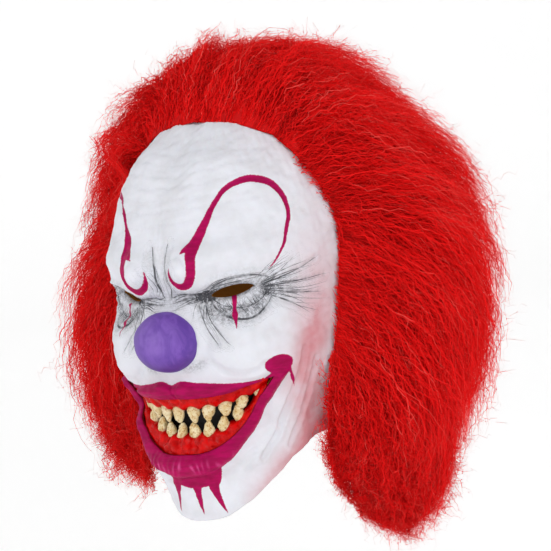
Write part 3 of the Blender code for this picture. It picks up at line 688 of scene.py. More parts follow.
def face_fields(angle, z):
    """Relief, and the paint, ink with painted shade, blush and painted highlight of the face, at these chart
    points.
    """
    u = angle * CHART_RADIUS
    a = np.degrees(np.abs(angle))
    side = np.tanh(u / 0.012)
    mirrored = np.abs(u)
    level = z + SIDE_DROP * (1 - side)
    opening, lips = mouth_sides(u, z)
    slit, along, across = eye_sides(u, z)
    height = plain_relief(a, z)

    # lips: full rolls that turn in at the opening
    inside = clamp(-lips / 0.0045)
    height += 0.0046 * np.sin(inside * math.pi / 2) * np.where(z > MOUTH_TOP + 0.2 * (a / 40), 0.75, 1.0)
    height -= 0.0032 * bell(clamp(opening), 0.0022)
    pleats = np.sin(u / 0.00070 + 5.0 * ripple(np.stack([u, z * 0.3], -1), 0.018, 3))
    height += 0.00022 * pleats * inside * bell(z + 0.103, 0.010)

    # eyelids: a thick upper lid over the slit, a thin lower one
    height += 0.0050 * bell(across - 0.0072, 0.0042) * np.exp(-np.abs(along / 1.25) ** 4)
    height += 0.0022 * bell(across + 0.0058, 0.0034) * np.exp(-np.abs(along / 1.2) ** 4)
    height -= 0.0020 * bell(clamp(slit), 0.0014)

    # brow knots with a ball in each curl
    curl = stroke(mirrored, level, BROW_CURL)
    thorn = stroke(mirrored, level, BROW_THORN)
    ball = oval(mirrored, level, *BROW_BALL)
    height += 0.0034 * np.sqrt(clamp(-ball / 0.0047))
    knot = oval(mirrored, level, 9.4, 0.0210, 0.0105, 0.0160)
    height += 0.0022 * clamp(1 - clamp(knot + 0.002) / 0.006) ** 2
    height -= 0.0010 * clamp(-curl / 0.0012)

    # a collar round the nose ball
    nose = np.hypot(u, z - NOSE_CENTRE.z)
    height += 0.0030 * bell(nose - 0.0200, 0.0030)

    ink_and_shade = np.zeros(u.shape)
    inked = []
    for points, depth, dark in WRINKLES:
        gap = clamp(stroke(mirrored, level, points, 5))
        height -= depth / 1000 * bell(gap, 0.0011)
        height += 0.25 * depth / 1000 * bell(gap - 0.0026, 0.0013)
        ink_and_shade += dark * (0.25 * bell(gap, 0.0009) + 0.20 * bell(gap, 0.0028))
        if dark > 0.2:
            inked.append([(x, y, w * (0.25 + dark)) for x, y, w in points])
    for points, dark in fan_lines():
        inked.append([(x, y, w * (0.35 + dark)) for x, y, w in points])
        gap = stroke(mirrored, level, points, 4)
        height -= 0.00022 * bell(clamp(gap), 0.0006)
        ink_and_shade += 0.05 * dark * bell(clamp(gap), 0.0022)
    wobble = ripple(np.stack([u, z], -1), 0.05, 11)
    for middle, rise, depth, reach in FOREHEAD_LINES:
        line = (middle + rise * (a / 40) ** 2) / 1000 + 0.0012 * wobble
        fade = np.exp(-((a / reach) ** 4))
        height -= 1.7 * depth / 1000 * bell(z - line, 0.0012) * fade
        ink_and_shade += 0.22 * depth * bell(z - line, 0.0010) * fade
    fine_lines = np.sin((z + 0.004 * wobble) / 0.00072) * np.exp(-((a / 55) ** 4))
    height += 0.00013 * fine_lines * bell(z - 0.075, 0.035)
    place = np.stack([u, z], -1)
    height += 0.00045 * ripple(place, 0.022, 5) + 0.00018 * ripple(place, 0.007, 6)

    # painted shade at the inner eye corners, round the slits and along the mouth's edge, and a painted shadow
    # under the nose ball; airbrushed grey under the eyes, and darker between the brows
    inner_corner = oval(mirrored, z, 16.0, 0.0042, 0.0042, 0.0018, 12)
    ink_and_shade += 1.2 * bell(clamp(inner_corner), 0.0014)
    ink_and_shade += 0.34 * bell(clamp(np.abs(slit) - 0.0004), 0.0011)
    bag = oval(mirrored, z, 25.5, -0.0005, 0.0170, 0.0105, 6)
    ink_and_shade += 0.16 * bell(bag, 0.0034) + 0.12 * bell(clamp(bag), 0.004)
    hatch = clamp(np.sin((u * 0.8 + z * 1.9) / 0.00085 + 1.5 * wobble)) ** 3
    ink_and_shade += 0.12 * hatch * bell(clamp(bag + 0.001), 0.0045)
    # a painted shadow under the nose ball, on both sides
    ink_and_shade += 0.30 * bell(clamp(oval(mirrored, z, 9.6, -0.0405, 0.0030, 0.0012, 20)), 0.0022)
    ink_and_shade += 0.16 * bump(a, z, 0, 0.006, 5, 0.012)
    # painted shade along the edge of the mouth opening
    shade_at_mouth_edge = bell(clamp(opening), 0.0010) * 0.35
    ink_and_shade += np.where(lips < 0, shade_at_mouth_edge, 0)

    blush = 0.95 * bell(a - 62 - 8 * np.sin(z * 30), 8.5) * np.exp(-(((z + 0.062) / 0.055) ** 4))
    blush += 0.42 * bell(a - 60, 9) * bump(0, z, 0, 0.002, 1, 0.030)
    rim_height = section(HEAD, rim_station(angle))[..., 0]
    blush += 0.85 * bell(z - rim_height, 0.012) * (a > 18) * clamp((a - 18) / 20)
    blush += 0.05 * bell(lips - 0.002, 0.004)

    paint = np.minimum.reduce([
        curl, thorn, stroke(mirrored, level, TEAR), lips,
        oval(mirrored, z, *CORNER_BLOB), oval(u, z, *CHIN_POOL), stroke(mirrored, z, CORNER_DRIP),
    ] + [stroke(u, z, drip) for drip in CHIN_DRIPS])
    # a painted highlight along the middle of the lower lip, broken up by its pleats
    painted_highlight = bell(z + 0.1035 - 0.008 * (u / 0.05) ** 2, 0.0034) * (lips < -0.001)
    painted_highlight = painted_highlight * clamp(pleats - 0.2) * bell(a, 20)
    painted_highlight = painted_highlight * clamp(0.35 + ripple(np.stack([u, z], -1), 0.012, 8))
    lines = inked_lines(mirrored, level, inked)
    return height, dict(lines, paint=paint, ink_and_shade=ink_and_shade, blush=blush, painted_highlight=painted_highlight)


FACE_COLUMNS, FACE_ROWS = 372, 252


def face_chart(columns, rows):
    """The chart grid of the front half, closer together in the middle of the face."""
    t = np.linspace(-1, 1, columns + 1)
    v = np.linspace(0, 1, rows + 1)
    angle = np.broadcast_to(math.pi / 2 * t * (0.64 + 0.36 * t**2), (rows + 1, columns + 1))
    rim = rim_station(angle)
    rise = (v * (0.78 + 0.22 * v**2))[:, None]
    return angle, rim + (CROWN - rim) * rise


def hole_rims(angle, s, quads):
    """Which quads lie in an opening, with the chart points on its edge moved onto its outline."""
    angle, s = angle.ravel().copy(), s.ravel().copy()

    def gap_at(turn, station):
        z = section(HEAD, station)[..., 0]
        opening = mouth_sides(turn * CHART_RADIUS, z)[0]
        slit = eye_sides(turn * CHART_RADIUS, z)[0]
        return np.minimum(opening, slit)

    middle_angle, middle_s = angle[quads].mean(1), s[quads].mean(1)
    gone = gap_at(middle_angle, middle_s) < 0
    kept_points = np.zeros(len(angle), bool)
    kept_points[quads[~gone]] = True
    gone_points = np.zeros(len(angle), bool)
    gone_points[quads[gone]] = True
    edge = np.flatnonzero(kept_points & gone_points)
    step = 1e-4
    for _ in range(3):
        a, q = angle[edge], s[edge]
        here = gap_at(a, q)
        per_angle = (gap_at(a + step, q) - here) / step
        per_s = (gap_at(a, q + step) - here) / step
        across, up = per_angle / CHART_RADIUS, per_s / STATION_LENGTH
        size = np.maximum(across**2 + up**2, 0.2)
        angle[edge] -= here * across / size / CHART_RADIUS
        s[edge] -= here * up / size / STATION_LENGTH
    return angle, s, gone


def build_face():
    angle, s = face_chart(FACE_COLUMNS, FACE_ROWS)
    shape = angle.shape
    quads = grid_quads(FACE_COLUMNS, FACE_ROWS)
    uv_u = np.broadcast_to(np.linspace(0, 1, shape[1]), shape).ravel()
    uv_v = np.broadcast_to(np.linspace(0, 1, shape[0])[:, None], shape).ravel()
    angle, s, gone = hole_rims(angle, s, quads)
    s = np.minimum(s, CROWN - 1e-4)
    z = section(HEAD, s)[..., 0]
    height, values = face_fields(angle, z)
    way = head_normal(angle, s)
    verts = ring_point(HEAD, angle, s) + way * height[:, None]
    quads = quads[~gone]
    values["inward"] = np.zeros(len(verts))
    uv = np.stack([uv_u[quads], uv_v[quads]], -1) * 0.98 + 0.01
    piece = array_mesh("face_skin", verts, quads, uv=uv.reshape(-1, 2), values=values)
    turn_in_edges(piece, way, np.stack([uv_u, uv_v], -1) * 0.98 + 0.01)
    finish_piece(piece, "latex_white", painted_latex(), "face_shell")

    # The inside of the skin, raw latex
    columns, rows = 130, 100
    angle, s = face_chart(columns, rows)
    quads = grid_quads(columns, rows)
    angle, s, gone = hole_rims(angle, s, quads)
    s = np.minimum(s, CROWN - 1e-4)
    way = head_normal(angle, s)
    depth = plain_relief(np.degrees(np.abs(angle)), section(HEAD, s)[..., 0]) - LATEX
    verts = ring_point(HEAD, angle, s) + way * depth[:, None]
    inside = array_mesh("face_skin_inside", verts, quads[~gone][:, ::-1])
    finish_piece(inside, "latex_white", raw_latex(), "face_shell")


EDGE_RINGS = 3  # rows of faces across the thickness of the skin


def turn_in_edges(piece, way, uv=None):
    """Rolls every open edge of a sheet inwards by the skin's thickness, so that the wall shows."""
    mesh = piece.data
    sheet = bmesh.new()
    sheet.from_mesh(mesh)
    sheet.verts.ensure_lookup_table()
    inward = [-Vector(w) for w in way]
    tag = sheet.verts.layers.float["inward"]
    chart = sheet.loops.layers.uv.active
    edges = [e for e in sheet.edges if e.is_boundary]
    owner = {v: v.index for e in edges for v in e.verts}
    for ring in range(EDGE_RINGS):
        made = bmesh.ops.extrude_edge_only(sheet, edges=edges)["geom"]
        edges = [g for g in made if isinstance(g, bmesh.types.BMEdge)]
        fresh = [g for g in made if isinstance(g, bmesh.types.BMVert)]
        places = {tuple(v.co): i for v, i in owner.items()}
        following = {v: places[tuple(v.co)] for v in fresh}
        owner = {**owner, **following}
        if chart and uv is not None:
            for face in {f for v in fresh for f in v.link_faces}:
                for loop in face.loops:
                    loop[chart].uv = uv[owner[loop.vert]]
        for v, i in following.items():
            v.co += inward[i] * (LATEX / EDGE_RINGS)
            v[tag] = (ring + 1) / EDGE_RINGS
        owner = following
    bmesh.ops.recalc_face_normals(sheet, faces=sheet.faces)
    sheet.to_mesh(mesh)
    sheet.free()
    mesh.shade_smooth()


def build_rear():
    """The back of the cast skin, painted outside and raw inside; the wig hides most of it."""
    columns, rows, gap = 110, 80, 0.0004
    t = np.linspace(math.pi / 2, 3 * math.pi / 2, columns + 1)
    angle = np.broadcast_to(t, (rows + 1, columns + 1)).ravel()
    v = np.repeat(np.linspace(0, 1, rows + 1), columns + 1)
    rim = rim_station(angle)
    s = np.minimum(rim + (CROWN - rim) * v, CROWN - 1e-4)
    way = head_normal(angle, s)
    verts = ring_point(HEAD, angle, s) + [0, gap, 0]
    quads = grid_quads(columns, rows)
    zero = np.zeros(len(verts))
    blush = 0.7 * bell(section(HEAD, s)[:, 0] - section(HEAD, rim)[:, 0], 0.012)
    values = dict(paint=zero + 0.05, ink_and_shade=zero, blush=blush, painted_highlight=zero, inward=zero)
    values.update({f"line_{group}": zero + 30 for group in range(INK_GROUPS)})
    piece = array_mesh("rear_skin", verts, quads, values=values)
    turn_in_edges(piece, way)
    finish_piece(piece, "latex_white", bpy.data.materials["painted_latex"], "rear_shell")
    inside = array_mesh("rear_skin_inside", verts - way * LATEX, quads[:, ::-1])
    finish_piece(inside, "latex_white", bpy.data.materials["raw_latex"], "rear_shell")


# ---------------------------------------------------------------- nose, teeth, gums
def build_nose():
    """A slightly egg-shaped ball, dented by the brush and pressed onto the face."""
    around, rings = 96, 64
    turn, rise = np.meshgrid(np.linspace(0, 2 * math.pi, around + 1), np.linspace(0, math.pi, rings + 1))
    way = np.stack([np.sin(rise) * np.cos(turn), -np.cos(rise), np.sin(rise) * np.sin(turn)], -1)
    way = way.reshape(-1, 3)
    size = NOSE_RADIUS * (1 + 0.012 * ripple(way, 1.6, 21) + 0.006 * ripple(way, 0.7, 22))
    size = size * (1 + 0.03 * clamp(-way[:, 2]) * np.abs(way[:, 0]))
    verts = np.array(NOSE_CENTRE) + way * size[:, None] * NOSE_SHAPE
    # a painted highlight on the upper front of the ball and painted shade on the side turned away from it
    painted_highlight = np.exp(-(((way - unit(np.array([0.15, -0.9, 0.25]))) ** 2).sum(-1)) / 0.30)
    shade = clamp(0.75 - way @ unit(np.array([0.25, -0.75, 0.6])))
    quads = grid_quads(around, rings)[:, ::-1]
    piece = array_mesh("nose_bulb", verts, quads, values=dict(painted_highlight=painted_highlight, shade=shade))
    weld(piece)
    finish_piece(piece, "latex_purple", nose_paint(), "nose_ball")


def weld(piece, distance=1e-6):
    sheet = bmesh.new()
    sheet.from_mesh(piece.data)
    bmesh.ops.remove_doubles(sheet, verts=sheet.verts, dist=distance)
    bmesh.ops.recalc_face_normals(sheet, faces=sheet.faces)
    sheet.to_mesh(piece.data)
    sheet.free()
    piece.data.shade_smooth()


def build_tooth(index, node, look):
    """A lumpy teardrop fang in the CAD tooth's box: round at the root, drawn to a blunt point."""
    low, high = (np.array(corner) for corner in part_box(node))
    centre, size = (low + high) / 2, high - low
    down = node.startswith("upper")
    draw = np.random.default_rng(100 + index)
    turn = math.atan2(centre[0], -centre[1])
    outward = np.array([math.sin(turn), -math.cos(turn), 0])
    sideways = np.array([math.cos(turn), math.sin(turn), 0])
    width = (0.0092 if down else 0.0086) * min(1, 0.55 + 0.45 * size[2] / 0.011) * draw.uniform(0.94, 1.05)
    around, rings = 32, 30
    a, v = np.meshgrid(np.linspace(0, 2 * math.pi, around + 1), np.linspace(0, 1, rings + 1))
    girth = np.sin(math.pi * v**0.92) ** 0.50 * (1.02 - 0.36 * v**1.8)
    lean = draw.uniform(-0.16, 0.10) * (1 if centre[0] > 0 else -1)
    side = np.abs(np.cos(a)) ** 0.8 * np.sign(np.cos(a)) * girth * width / 2 + lean * (v - 0.4) * size[2]
    depth = np.sin(a) * girth * 0.0032
    rise = (0.5 - v) * size[2] * 1.10
    verts = (centre + sideways * side.reshape(-1, 1) + outward * depth.reshape(-1, 1)
             + np.array([0, 0, 1]) * (rise if down else -rise).reshape(-1, 1))
    verts += unit(verts - centre) * (0.00030 * ripple(verts, 0.0045, 200 + index) + 0.00016 * ripple(
        verts, 0.0018, 300 + index))[:, None]
    # painted shade at the root, where the fang goes into the gum, and on its back
    shade = clamp(1 - v * 4.5) + clamp(-np.sin(a) + 0.05)
    name = node.replace("tooth", "fang")
    piece = array_mesh(name, verts, grid_quads(around, rings), values=dict(shade=shade.ravel()))
    weld(piece, 2e-5)
    finish_piece(piece, "tooth_ivory", look, node)


def under_face(x, z, depth):
    angle = np.arcsin(np.clip(x / MOUTH_RADIUS, -1, 1))
    s = station_at(z)
    return ring_point(HEAD, angle, s) - head_normal(angle, s) * np.asarray(depth)[..., None]


def build_gum(name, node, upper, look):
    """A wet red band from behind the lip to the necks of the teeth, scalloped between them."""
    columns, rows = 170, 30
    x, v = np.meshgrid(np.linspace(-0.0560, 0.0560, columns + 1), np.linspace(0, 1, rows + 1))
    near = clamp(1 - np.abs(x / MOUTH_HALF_WIDTH) ** MOUTH_CURVE)
    angle = np.arcsin(x / MOUTH_RADIUS)
    tooth = np.abs(np.cos(math.pi * (angle / math.radians(7.4 if upper else 6.9) + 0.5)))
    edge = mouth_edge(x, MOUTH_TOP if upper else MOUTH_BOTTOM)
    rise = 0.0082 * np.clip(1 - (x / 0.046) ** 2, 0.02, 1)
    hidden = 0.0022 * np.clip(near * 6, 0.2, 1)
    down = -1 if upper else 1
    band = 0.0055 * np.clip(near * 5, 0.15, 1) if upper else rise + 0.0006
    reach = hidden + band + 0.0024 * (1 - tooth) * near**0.3
    z = edge + down * (reach * v - hidden)
    skin = plain_relief(np.degrees(np.abs(angle)), edge) + 0.0002
    start = LATEX + 0.0005 - skin
    depth = start + (0.0088 - start) * v**1.3 + 0.0060 * clamp((v - 0.86) / 0.14) ** 2
    place = np.stack([x, z], -1)
    depth -= 0.0007 * np.sin(math.pi * v) * (1 + ripple(place, 0.009, 41)) + 0.0009 * (1 - tooth) * v
    # painted shade deep in the mouth by the teeth, and under the lip's edge
    shade = clamp(v * 3.0 - 2.3) + 0.5 * clamp(1 - v * 9)
    front = under_face(x, z, depth).reshape(-1, 3)
    piece = array_mesh(name, front, grid_quads(columns, rows), values=dict(shade=shade.ravel()))
    solid = piece.modifiers.new("wall", "SOLIDIFY")
    solid.thickness, solid.offset = 0.0012, down
    finish_piece(piece, "gum_red", look, node)


def build_mouth():
    gum = gum_paint()
    build_gum("upper_gum_bar", "upper_gum", True, gum)
    build_gum("lower_gum_bar", "lower_gum", False, gum)
    tooth = tooth_paint()
    rows = [("upper", UPPER_TEETH), ("lower", LOWER_TEETH)]
    nodes = [f"{row}_tooth_{k + 1}" for row, count in rows for k in range(count)]
    for index, node in enumerate(nodes):
        build_tooth(index, node, tooth)
    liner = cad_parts["mouth_liner"]
    liner.data.materials.clear()
    liner.data.materials.append(liner_paint())


# ---------------------------------------------------------------- the wig
# name, angles from and to in degrees, stations from and to (None is the hairline), how far the
# fibres sweep round (degrees), climb and comb back (stations), the lowest station, and layers
WEFTS = [
    ("front_roll", -52, 52, None, 10.05, 0, 0.1, 2.3, 0.0, 2),
    ("temple_left", 52, 118, 7.3, 10.05, 10, -0.4, 1.3, 0.0, 2),
    ("temple_right", -118, -52, 7.3, 10.05, 0, -1.5, 0.5, 0.0, 1),
    ("back_upper", 118, 242, 7.3, 10.05, 0, -1.2, 0.5, 0.0, 1),
    ("side_left", 52, 118, 4.6, 7.3, 14, -2.2, 0.4, 0.0, 2),
    ("side_right", -118, -52, 4.6, 7.3, -2, -2.6, 0.2, 2.3, 1),
    ("back_middle", 118, 242, 4.6, 7.3, 0, -1.4, 0.0, 2.8, 1),
    ("fall_left", 52, 128, 0.0, 4.6, 3, -3.2, 0.0, 0.3, 2),
    ("fall_right", -128, -52, 2.2, 4.6, -2, -2.0, 0.0, 2.2, 1),
    ("nape", 128, 232, 2.9, 4.6, 0, -0.9, 0.0, 2.7, 1),
]
CROWN_START = 10.05
HANGING = ("hair_fall_left", "hair_fall_right", "hair_nape")
LONGEST_FALL, FALL_TAPER = 96, 2.0  # degrees, and stations at either end of the fall
PAD_SHARE = 0.24  # of the wig's thickness, filled by the pad under the fibres
FIBRES, WISPS = 3900, 900  # of one layer
FIBRE_POINTS, WISP_POINTS = 22, 8
FIBRE_WIDTH, WISP_WIDTH = 0.00046, 0.00026
HAIRLINE_CROWD, FRAY = 0.26, 0.22  # share of the roots, and stations
TUFT = 30  # fibres to a tuft
PROUD = 0.0165  # how far a stray may stand out past the CAD model's box
EDGE_WIDTH = 0.040  # from the hairline to where the wig has its full thickness


def hairline_station(angle):
    """The station of the hairline over the forehead."""
    heights = np.linspace(0.057, 0.117, 200)
    turns = hairline_angle(heights)
    return station_at(np.interp(-np.abs(angle), -turns, heights))


def fullness(angle, s):
    """How much of the wig's thickness is there: little at the hairline, all of it further back."""
    scalp = ring_point(SCALP, angle, s)
    turn = np.abs(np.arctan2(np.sin(angle), np.cos(angle)))
    beside = (turn - hairline_angle(scalp[..., 2])) * np.linalg.norm(scalp[..., :2], axis=-1)
    line = ring_point(SCALP, angle, hairline_station(np.clip(turn, 0, 1.3)))
    above = np.linalg.norm(scalp - line, axis=-1)
    over_brow = (scalp[..., 2] > 0.085) & (np.cos(angle) > 0)
    part = clamp(np.where(over_brow, above, beside) / EDGE_WIDTH)
    return 0.10 + 0.90 * np.sqrt(part * (2 - part))


def hang_floor(angle, floor):
    """The station where the wool ends below: the fall is longest in the middle of its side."""
    side_on = np.abs(np.degrees(np.arctan2(np.sin(angle), np.cos(angle)))) - LONGEST_FALL
    return floor + (FALL_TAPER * (np.abs(side_on) / 34) ** 1.4 if floor < 1 else 0.0)


def fibre_paths(angle, s, sweep, climb, back, floor, draw):
    """Centre lines of fibres that leave the pad at these chart points and flow back and outwards."""
    count = len(angle)
    t = np.linspace(0, 1, FIBRE_POINTS)[None, :]
    lump = ripple(np.stack([angle * 0.1, s * 0.03], -1), 0.028, 77)
    vary = draw.uniform(0.45, 1.3, (3, count, 1))
    a = angle[:, None] + np.sign(np.sin(angle))[:, None] * sweep * vary[0] * t**1.2
    h = s[:, None] + climb * vary[1] * t**1.4
    place = np.stack([angle * 0.1, s * 0.03], -1)
    a = a + (0.09 * draw.normal(size=(count, 1)) + 0.07 * ripple(place, 0.016, 78)[:, None]) * t**1.3
    h = h + (0.26 * draw.normal(size=(count, 1)) + 0.22 * ripple(place, 0.018, 79)[:, None]) * t**1.3
    # combing back is a straight move over the disc that has the crown in its middle
    across, along = (CROWN - h) * np.sin(a), (CROWN - h) * -np.cos(a) + back * vary[2] * t**1.2
    across = across * (1 + 0.12 * np.abs(back) * t)
    a = np.arctan2(across, -along)
    low = hang_floor(a, floor) + 1.5 * draw.uniform(0, 1, (count, 1)) ** 2.2
    low = low + 0.45 * ripple(place, 0.010, 80)[:, None]
    h = CROWN - np.hypot(across, along)
    h = np.clip(low + np.logaddexp(0, (h - low) * 5) / 5, 0.02, CROWN - 0.05)
    most = PAD_SHARE + (1 - PAD_SHARE) * draw.uniform(0.0, 1.0, count) ** 0.6 * (1 + 0.14 * lump)
    start = (PAD_SHARE - 0.08) * draw.uniform(0.1, 1.0, (count, 1))
    fill = (start + (most[:, None] - start) * (1 - (1 - t) ** 2.6)) * fullness(a, h)
    near = ring_point(SCALP, a, h) + head_normal(a, np.minimum(h, CROWN - 0.02), SCALP) * 0.0012
    return near + (ring_point(WIG, a, h) - near) * fill[..., None]


def within(paths):
    """Which lines stay in the box that the wig may fill, a little larger than the CAD model's."""
    low, high = (np.array(corner) for corner in cad_box)
    return ((paths > low - PROUD) & (paths < high + PROUD)).all((1, 2))


def clump(paths, draw):
    """Draws fibres towards nearby leaders, most at their tips, so that they end in tufts."""
    leaders = draw.choice(len(paths), len(paths) // TUFT, replace=False)
    gap = np.full(len(paths), 9.0)
    nearest = np.zeros(len(paths), int)
    for leader in leaders:
        away = ((paths[:, FIBRE_POINTS // 2] - paths[leader, FIBRE_POINTS // 2]) ** 2).sum(-1)
        closer = away < gap
        gap[closer], nearest[closer] = away[closer], leader
    t = np.linspace(0, 1, FIBRE_POINTS)[None, :, None]
    pull = 0.75 * t**1.7 * draw.uniform(0.0, 1.0, (len(paths), 1, 1))
    stretch = 1 + 0.045 * np.clip(draw.normal(size=len(paths)), -2, 1.6)[nearest][:, None, None] * t**2
    return (paths + (paths[nearest] - paths) * pull) * stretch


def crimp(paths, draw, amount, jitter):
    """The wool's kinks: sideways waves and a little jitter along every fibre."""
    count, steps = paths.shape[:2]
    t = np.linspace(0, 1, steps)[None, :]
    result = paths.copy()
    for waves, share in ((3.0, 1.3), (7.0, 0.8)):
        across = unit(draw.normal(size=(count, 3)))
        phase = draw.uniform(0, 2 * math.pi, (count, 1))
        speed = waves * draw.uniform(0.6, 1.4, (count, 1))
        swing = np.sin(2 * math.pi * speed * t + phase) * share * amount * (0.25 + 0.75 * t)
        result += across[:, None] * swing[..., None]
    return result + draw.normal(size=paths.shape) * jitter * np.minimum(t * 4, 1)[..., None]


class Strands:
    """Gathers thin ribbons and the pad under them into one mesh, with a small patch of UV for each."""

    def __init__(self, cells):
        self.side = math.ceil(math.sqrt(cells))
        self.cell = 0
        self.parts = []
        self.used = 0

    def add(self, verts, quads, uv, tone):
        self.parts.append((verts, quads + self.used, uv, tone))
        self.used += len(verts)

    def ribbons(self, paths, draw, width, tones):
        count, steps = paths.shape[:2]
        along = unit(np.gradient(paths, axis=1))
        across = unit(np.cross(along, unit(draw.normal(size=(count, 1, 3)))))
        t = np.linspace(0, 1, steps)[None, :]
        half = width[:, None] / 2 * np.clip(1.15 - t**3, 0.12, 1)
        left, right = paths - across * half[..., None], paths + across * half[..., None]
        verts = np.stack([left, right], 2).reshape(-1, 3)
        base = (np.arange(count)[:, None] * steps + np.arange(steps - 1)[None, :]) * 2
        quads = np.stack([base, base + 1, base + 3, base + 2], -1).reshape(-1, 4)
        cell = self.cell + np.arange(count)
        self.cell += count
        u = (cell % self.side)[:, None] + 0.1 + 0.8 * t
        v = np.broadcast_to((cell // self.side)[:, None] + 0.3, u.shape)
        uv = np.stack([np.stack([u, v], -1), np.stack([u, v + 0.4], -1)], 2).reshape(-1, 2)
        # each fibre pales towards its tip: painted shade at the root, painted light at the tip
        tone = np.repeat((tones[:, None] + 0.30 * t).reshape(-1), 2)
        self.add(verts, quads, uv / (self.side + 1), tone)

    def mesh(self, name):
        verts, quads, uv, tone = (np.concatenate(column) for column in zip(*self.parts))
        return array_mesh(name, verts, quads, uv=uv[quads].reshape(-1, 2), values=dict(tone=tone))


PAD_COLUMNS, PAD_ROWS = 60, 40
PAD_SHORT = 1.9  # stations by which a hanging pad stops above the ends of its fibres


def wool_pad(strands, chart, floor, hangs, seed):
    """The dense inside of a wig section: a closed, furrowed pad between the scalp and the fibres."""
    columns, rows = PAD_COLUMNS, PAD_ROWS
    i, j = np.meshgrid(np.linspace(0, 1, columns + 1), np.linspace(0, 1, rows + 1))
    angle, s = chart(i.ravel(), j.ravel())
    if hangs:
        ends, bottom, top = hang_floor(angle, floor) + PAD_SHORT, s.min(), s.max()
        shorter = (top - np.minimum(ends, top - 0.3)) / (top - bottom)
        s = np.where(ends > bottom, top - (top - s) * shorter, s)
    out = head_normal(angle, np.minimum(s, CROWN - 0.02), SCALP)
    inner = ring_point(SCALP, angle, s) + out * 0.0008
    share = PAD_SHARE * fullness(angle, s) * (1 + 0.10 * ripple(inner, 0.030, seed))
    front = inner + (ring_point(WIG, angle, s) - inner) * share[:, None]
    front += out * (0.0008 * ripple(inner * [1, 1, 0.4], 0.007, seed + 1))[:, None]
    side = len(inner)
    ring = np.concatenate([
        np.arange(columns + 1), np.arange(1, rows + 1) * (columns + 1) + columns,
        rows * (columns + 1) + np.arange(columns - 1, -1, -1), np.arange(rows - 1, 0, -1) * (columns + 1),
    ])
    following = np.roll(ring, -1)
    quads = np.vstack([
        grid_quads(columns, rows), grid_quads(columns, rows, side)[:, ::-1],
        np.stack([ring, ring + side, following + side, following], -1),
    ])
    corner = strands.side / (strands.side + 1)
    uv = np.stack([corner + 0.8 * (1 - corner) * i.ravel(), j.ravel()], -1)
    # the pad's low tone makes it darker than the fibres: painted shade for the deep inside of the wig
    strands.add(np.vstack([front, inner]), quads, np.vstack([uv, uv]), np.full(2 * side, 0.16))


def wool_piece(name, node, chart, flow, seed, look, pad):
    """One layer of a wig section: its fibres and loose wisps, with the pad under them in the first."""
    draw = np.random.default_rng(seed)
    strands = Strands(FIBRES + WISPS)
    if pad:
        wool_pad(strands, chart, flow[3], node in HANGING, seed)
    # a share of the roots crowds along the hairline, and the section's edges are frayed
    along, up = draw.uniform(0, 1, (2, FIBRES))
    crowd = draw.uniform(0, 1, FIBRES) < HAIRLINE_CROWD
    if node == "hair_front_roll":
        up = np.where(crowd, up**3, up)
    elif node.endswith("_left"):
        along = np.where(crowd, along**4, along)
    elif node.endswith("_right"):
        along = np.where(crowd, 1 - along**4, along)
    angle, s = chart(along, up)
    if node.endswith(("_left", "_right")):
        angle = angle - np.sign(angle) * np.where(crowd, np.abs(draw.normal(size=FIBRES)) * 0.018, 0)
    s = s + draw.normal(size=FIBRES) * FRAY * (s < CROWN - 1.5) * (np.abs(angle) > math.radians(58))
    s = np.clip(s, 0.05, CROWN - 0.08)
    paths = clump(fibre_paths(angle, s, *flow, draw), draw)
    tone = 0.40 + 0.17 * draw.normal(size=FIBRES) + 0.12 * ripple(paths[:, 0], 0.02, seed + 6)
    tone += 0.4 * (draw.uniform(0, 1, FIBRES) < 0.07)
    paths = crimp(paths, draw, 0.0021, 0.00095)
    fits = within(paths)
    paths, tone = paths[fits], clamp(tone[fits])
    strands.ribbons(paths, draw, FIBRE_WIDTH * draw.uniform(0.6, 1.25, len(paths)), tone)
    start = paths[draw.integers(0, len(paths), WISPS), draw.integers(9, FIBRE_POINTS, WISPS)]
    heading = unit(unit(start * [1, 1, 0.6]) + 0.8 * draw.normal(size=(WISPS, 3)))
    t = np.linspace(0, 1, WISP_POINTS)[None, :, None]
    wisps = start[:, None] + heading[:, None] * draw.uniform(0.006, 0.022, (WISPS, 1, 1)) * t
    wisps = crimp(wisps, draw, 0.0026, 0.0005)
    wisps = wisps[within(wisps)]
    tone = clamp(0.45 + 0.2 * draw.normal(size=len(wisps)))
    strands.ribbons(wisps, draw, np.full(len(wisps), WISP_WIDTH), tone)
    finish_piece(strands.mesh(name), "wool_red", look, node)


def weft_chart(start, end, low, high):
    """Where the share (across, up) of a weft lies in the head chart."""

    def chart(across, up):
        first, last = math.radians(start), math.radians(end)
        if low is None:
            angle = first + (last - first) * across
            bottom = hairline_station(angle)
            return angle, bottom + (high - bottom) * up
        s = low + (high - low) * up
        line = hairline_angle(section(SCALP, s)[..., 0])
        if start > 0:
            first = np.maximum(first, line)
        else:
            last = np.minimum(last, -line)
        return first + (last - first) * across, s

    return chart


def crown_chart(across, up):
    return 2 * math.pi * across, CROWN_START + (CROWN - 0.12 - CROWN_START) * up


def build_wig():
    look = wool("red_wool", (0.44, 0.002, 0.002), (0.93, 0.006, 0.006), (0.97, 0.11, 0.09))
    for k, (name, start, end, low, high, sweep, climb, back, floor, layers) in enumerate(WEFTS):
        flow = (math.radians(sweep), climb, back, floor)
        for layer in range(layers):
            wool_piece(f"wool_{name}" + ("_over" if layer else ""), f"hair_{name}",
                       weft_chart(start, end, low, high), flow, 500 + 10 * k + 3 * layer, look, layer == 0)
    wool_piece("wool_crown", "hair_crown", crown_chart, (0.0, -0.1, 1.5, 0.0), 900, look, True)


# ---------------------------------------------------------------- stage, light and camera
CAMERA_AZIMUTH, CAMERA_ELEVATION, CAMERA_ROLL = 33.5, 3.0, 5.0
CAMERA_DISTANCE = 1.3
VIEW_SPAN = 0.3813  # width of the picture at the head's middle
FRAME_RIGHT, FRAME_UP = 0.0390, 0.0281  # shifts that put the head left of and below the middle


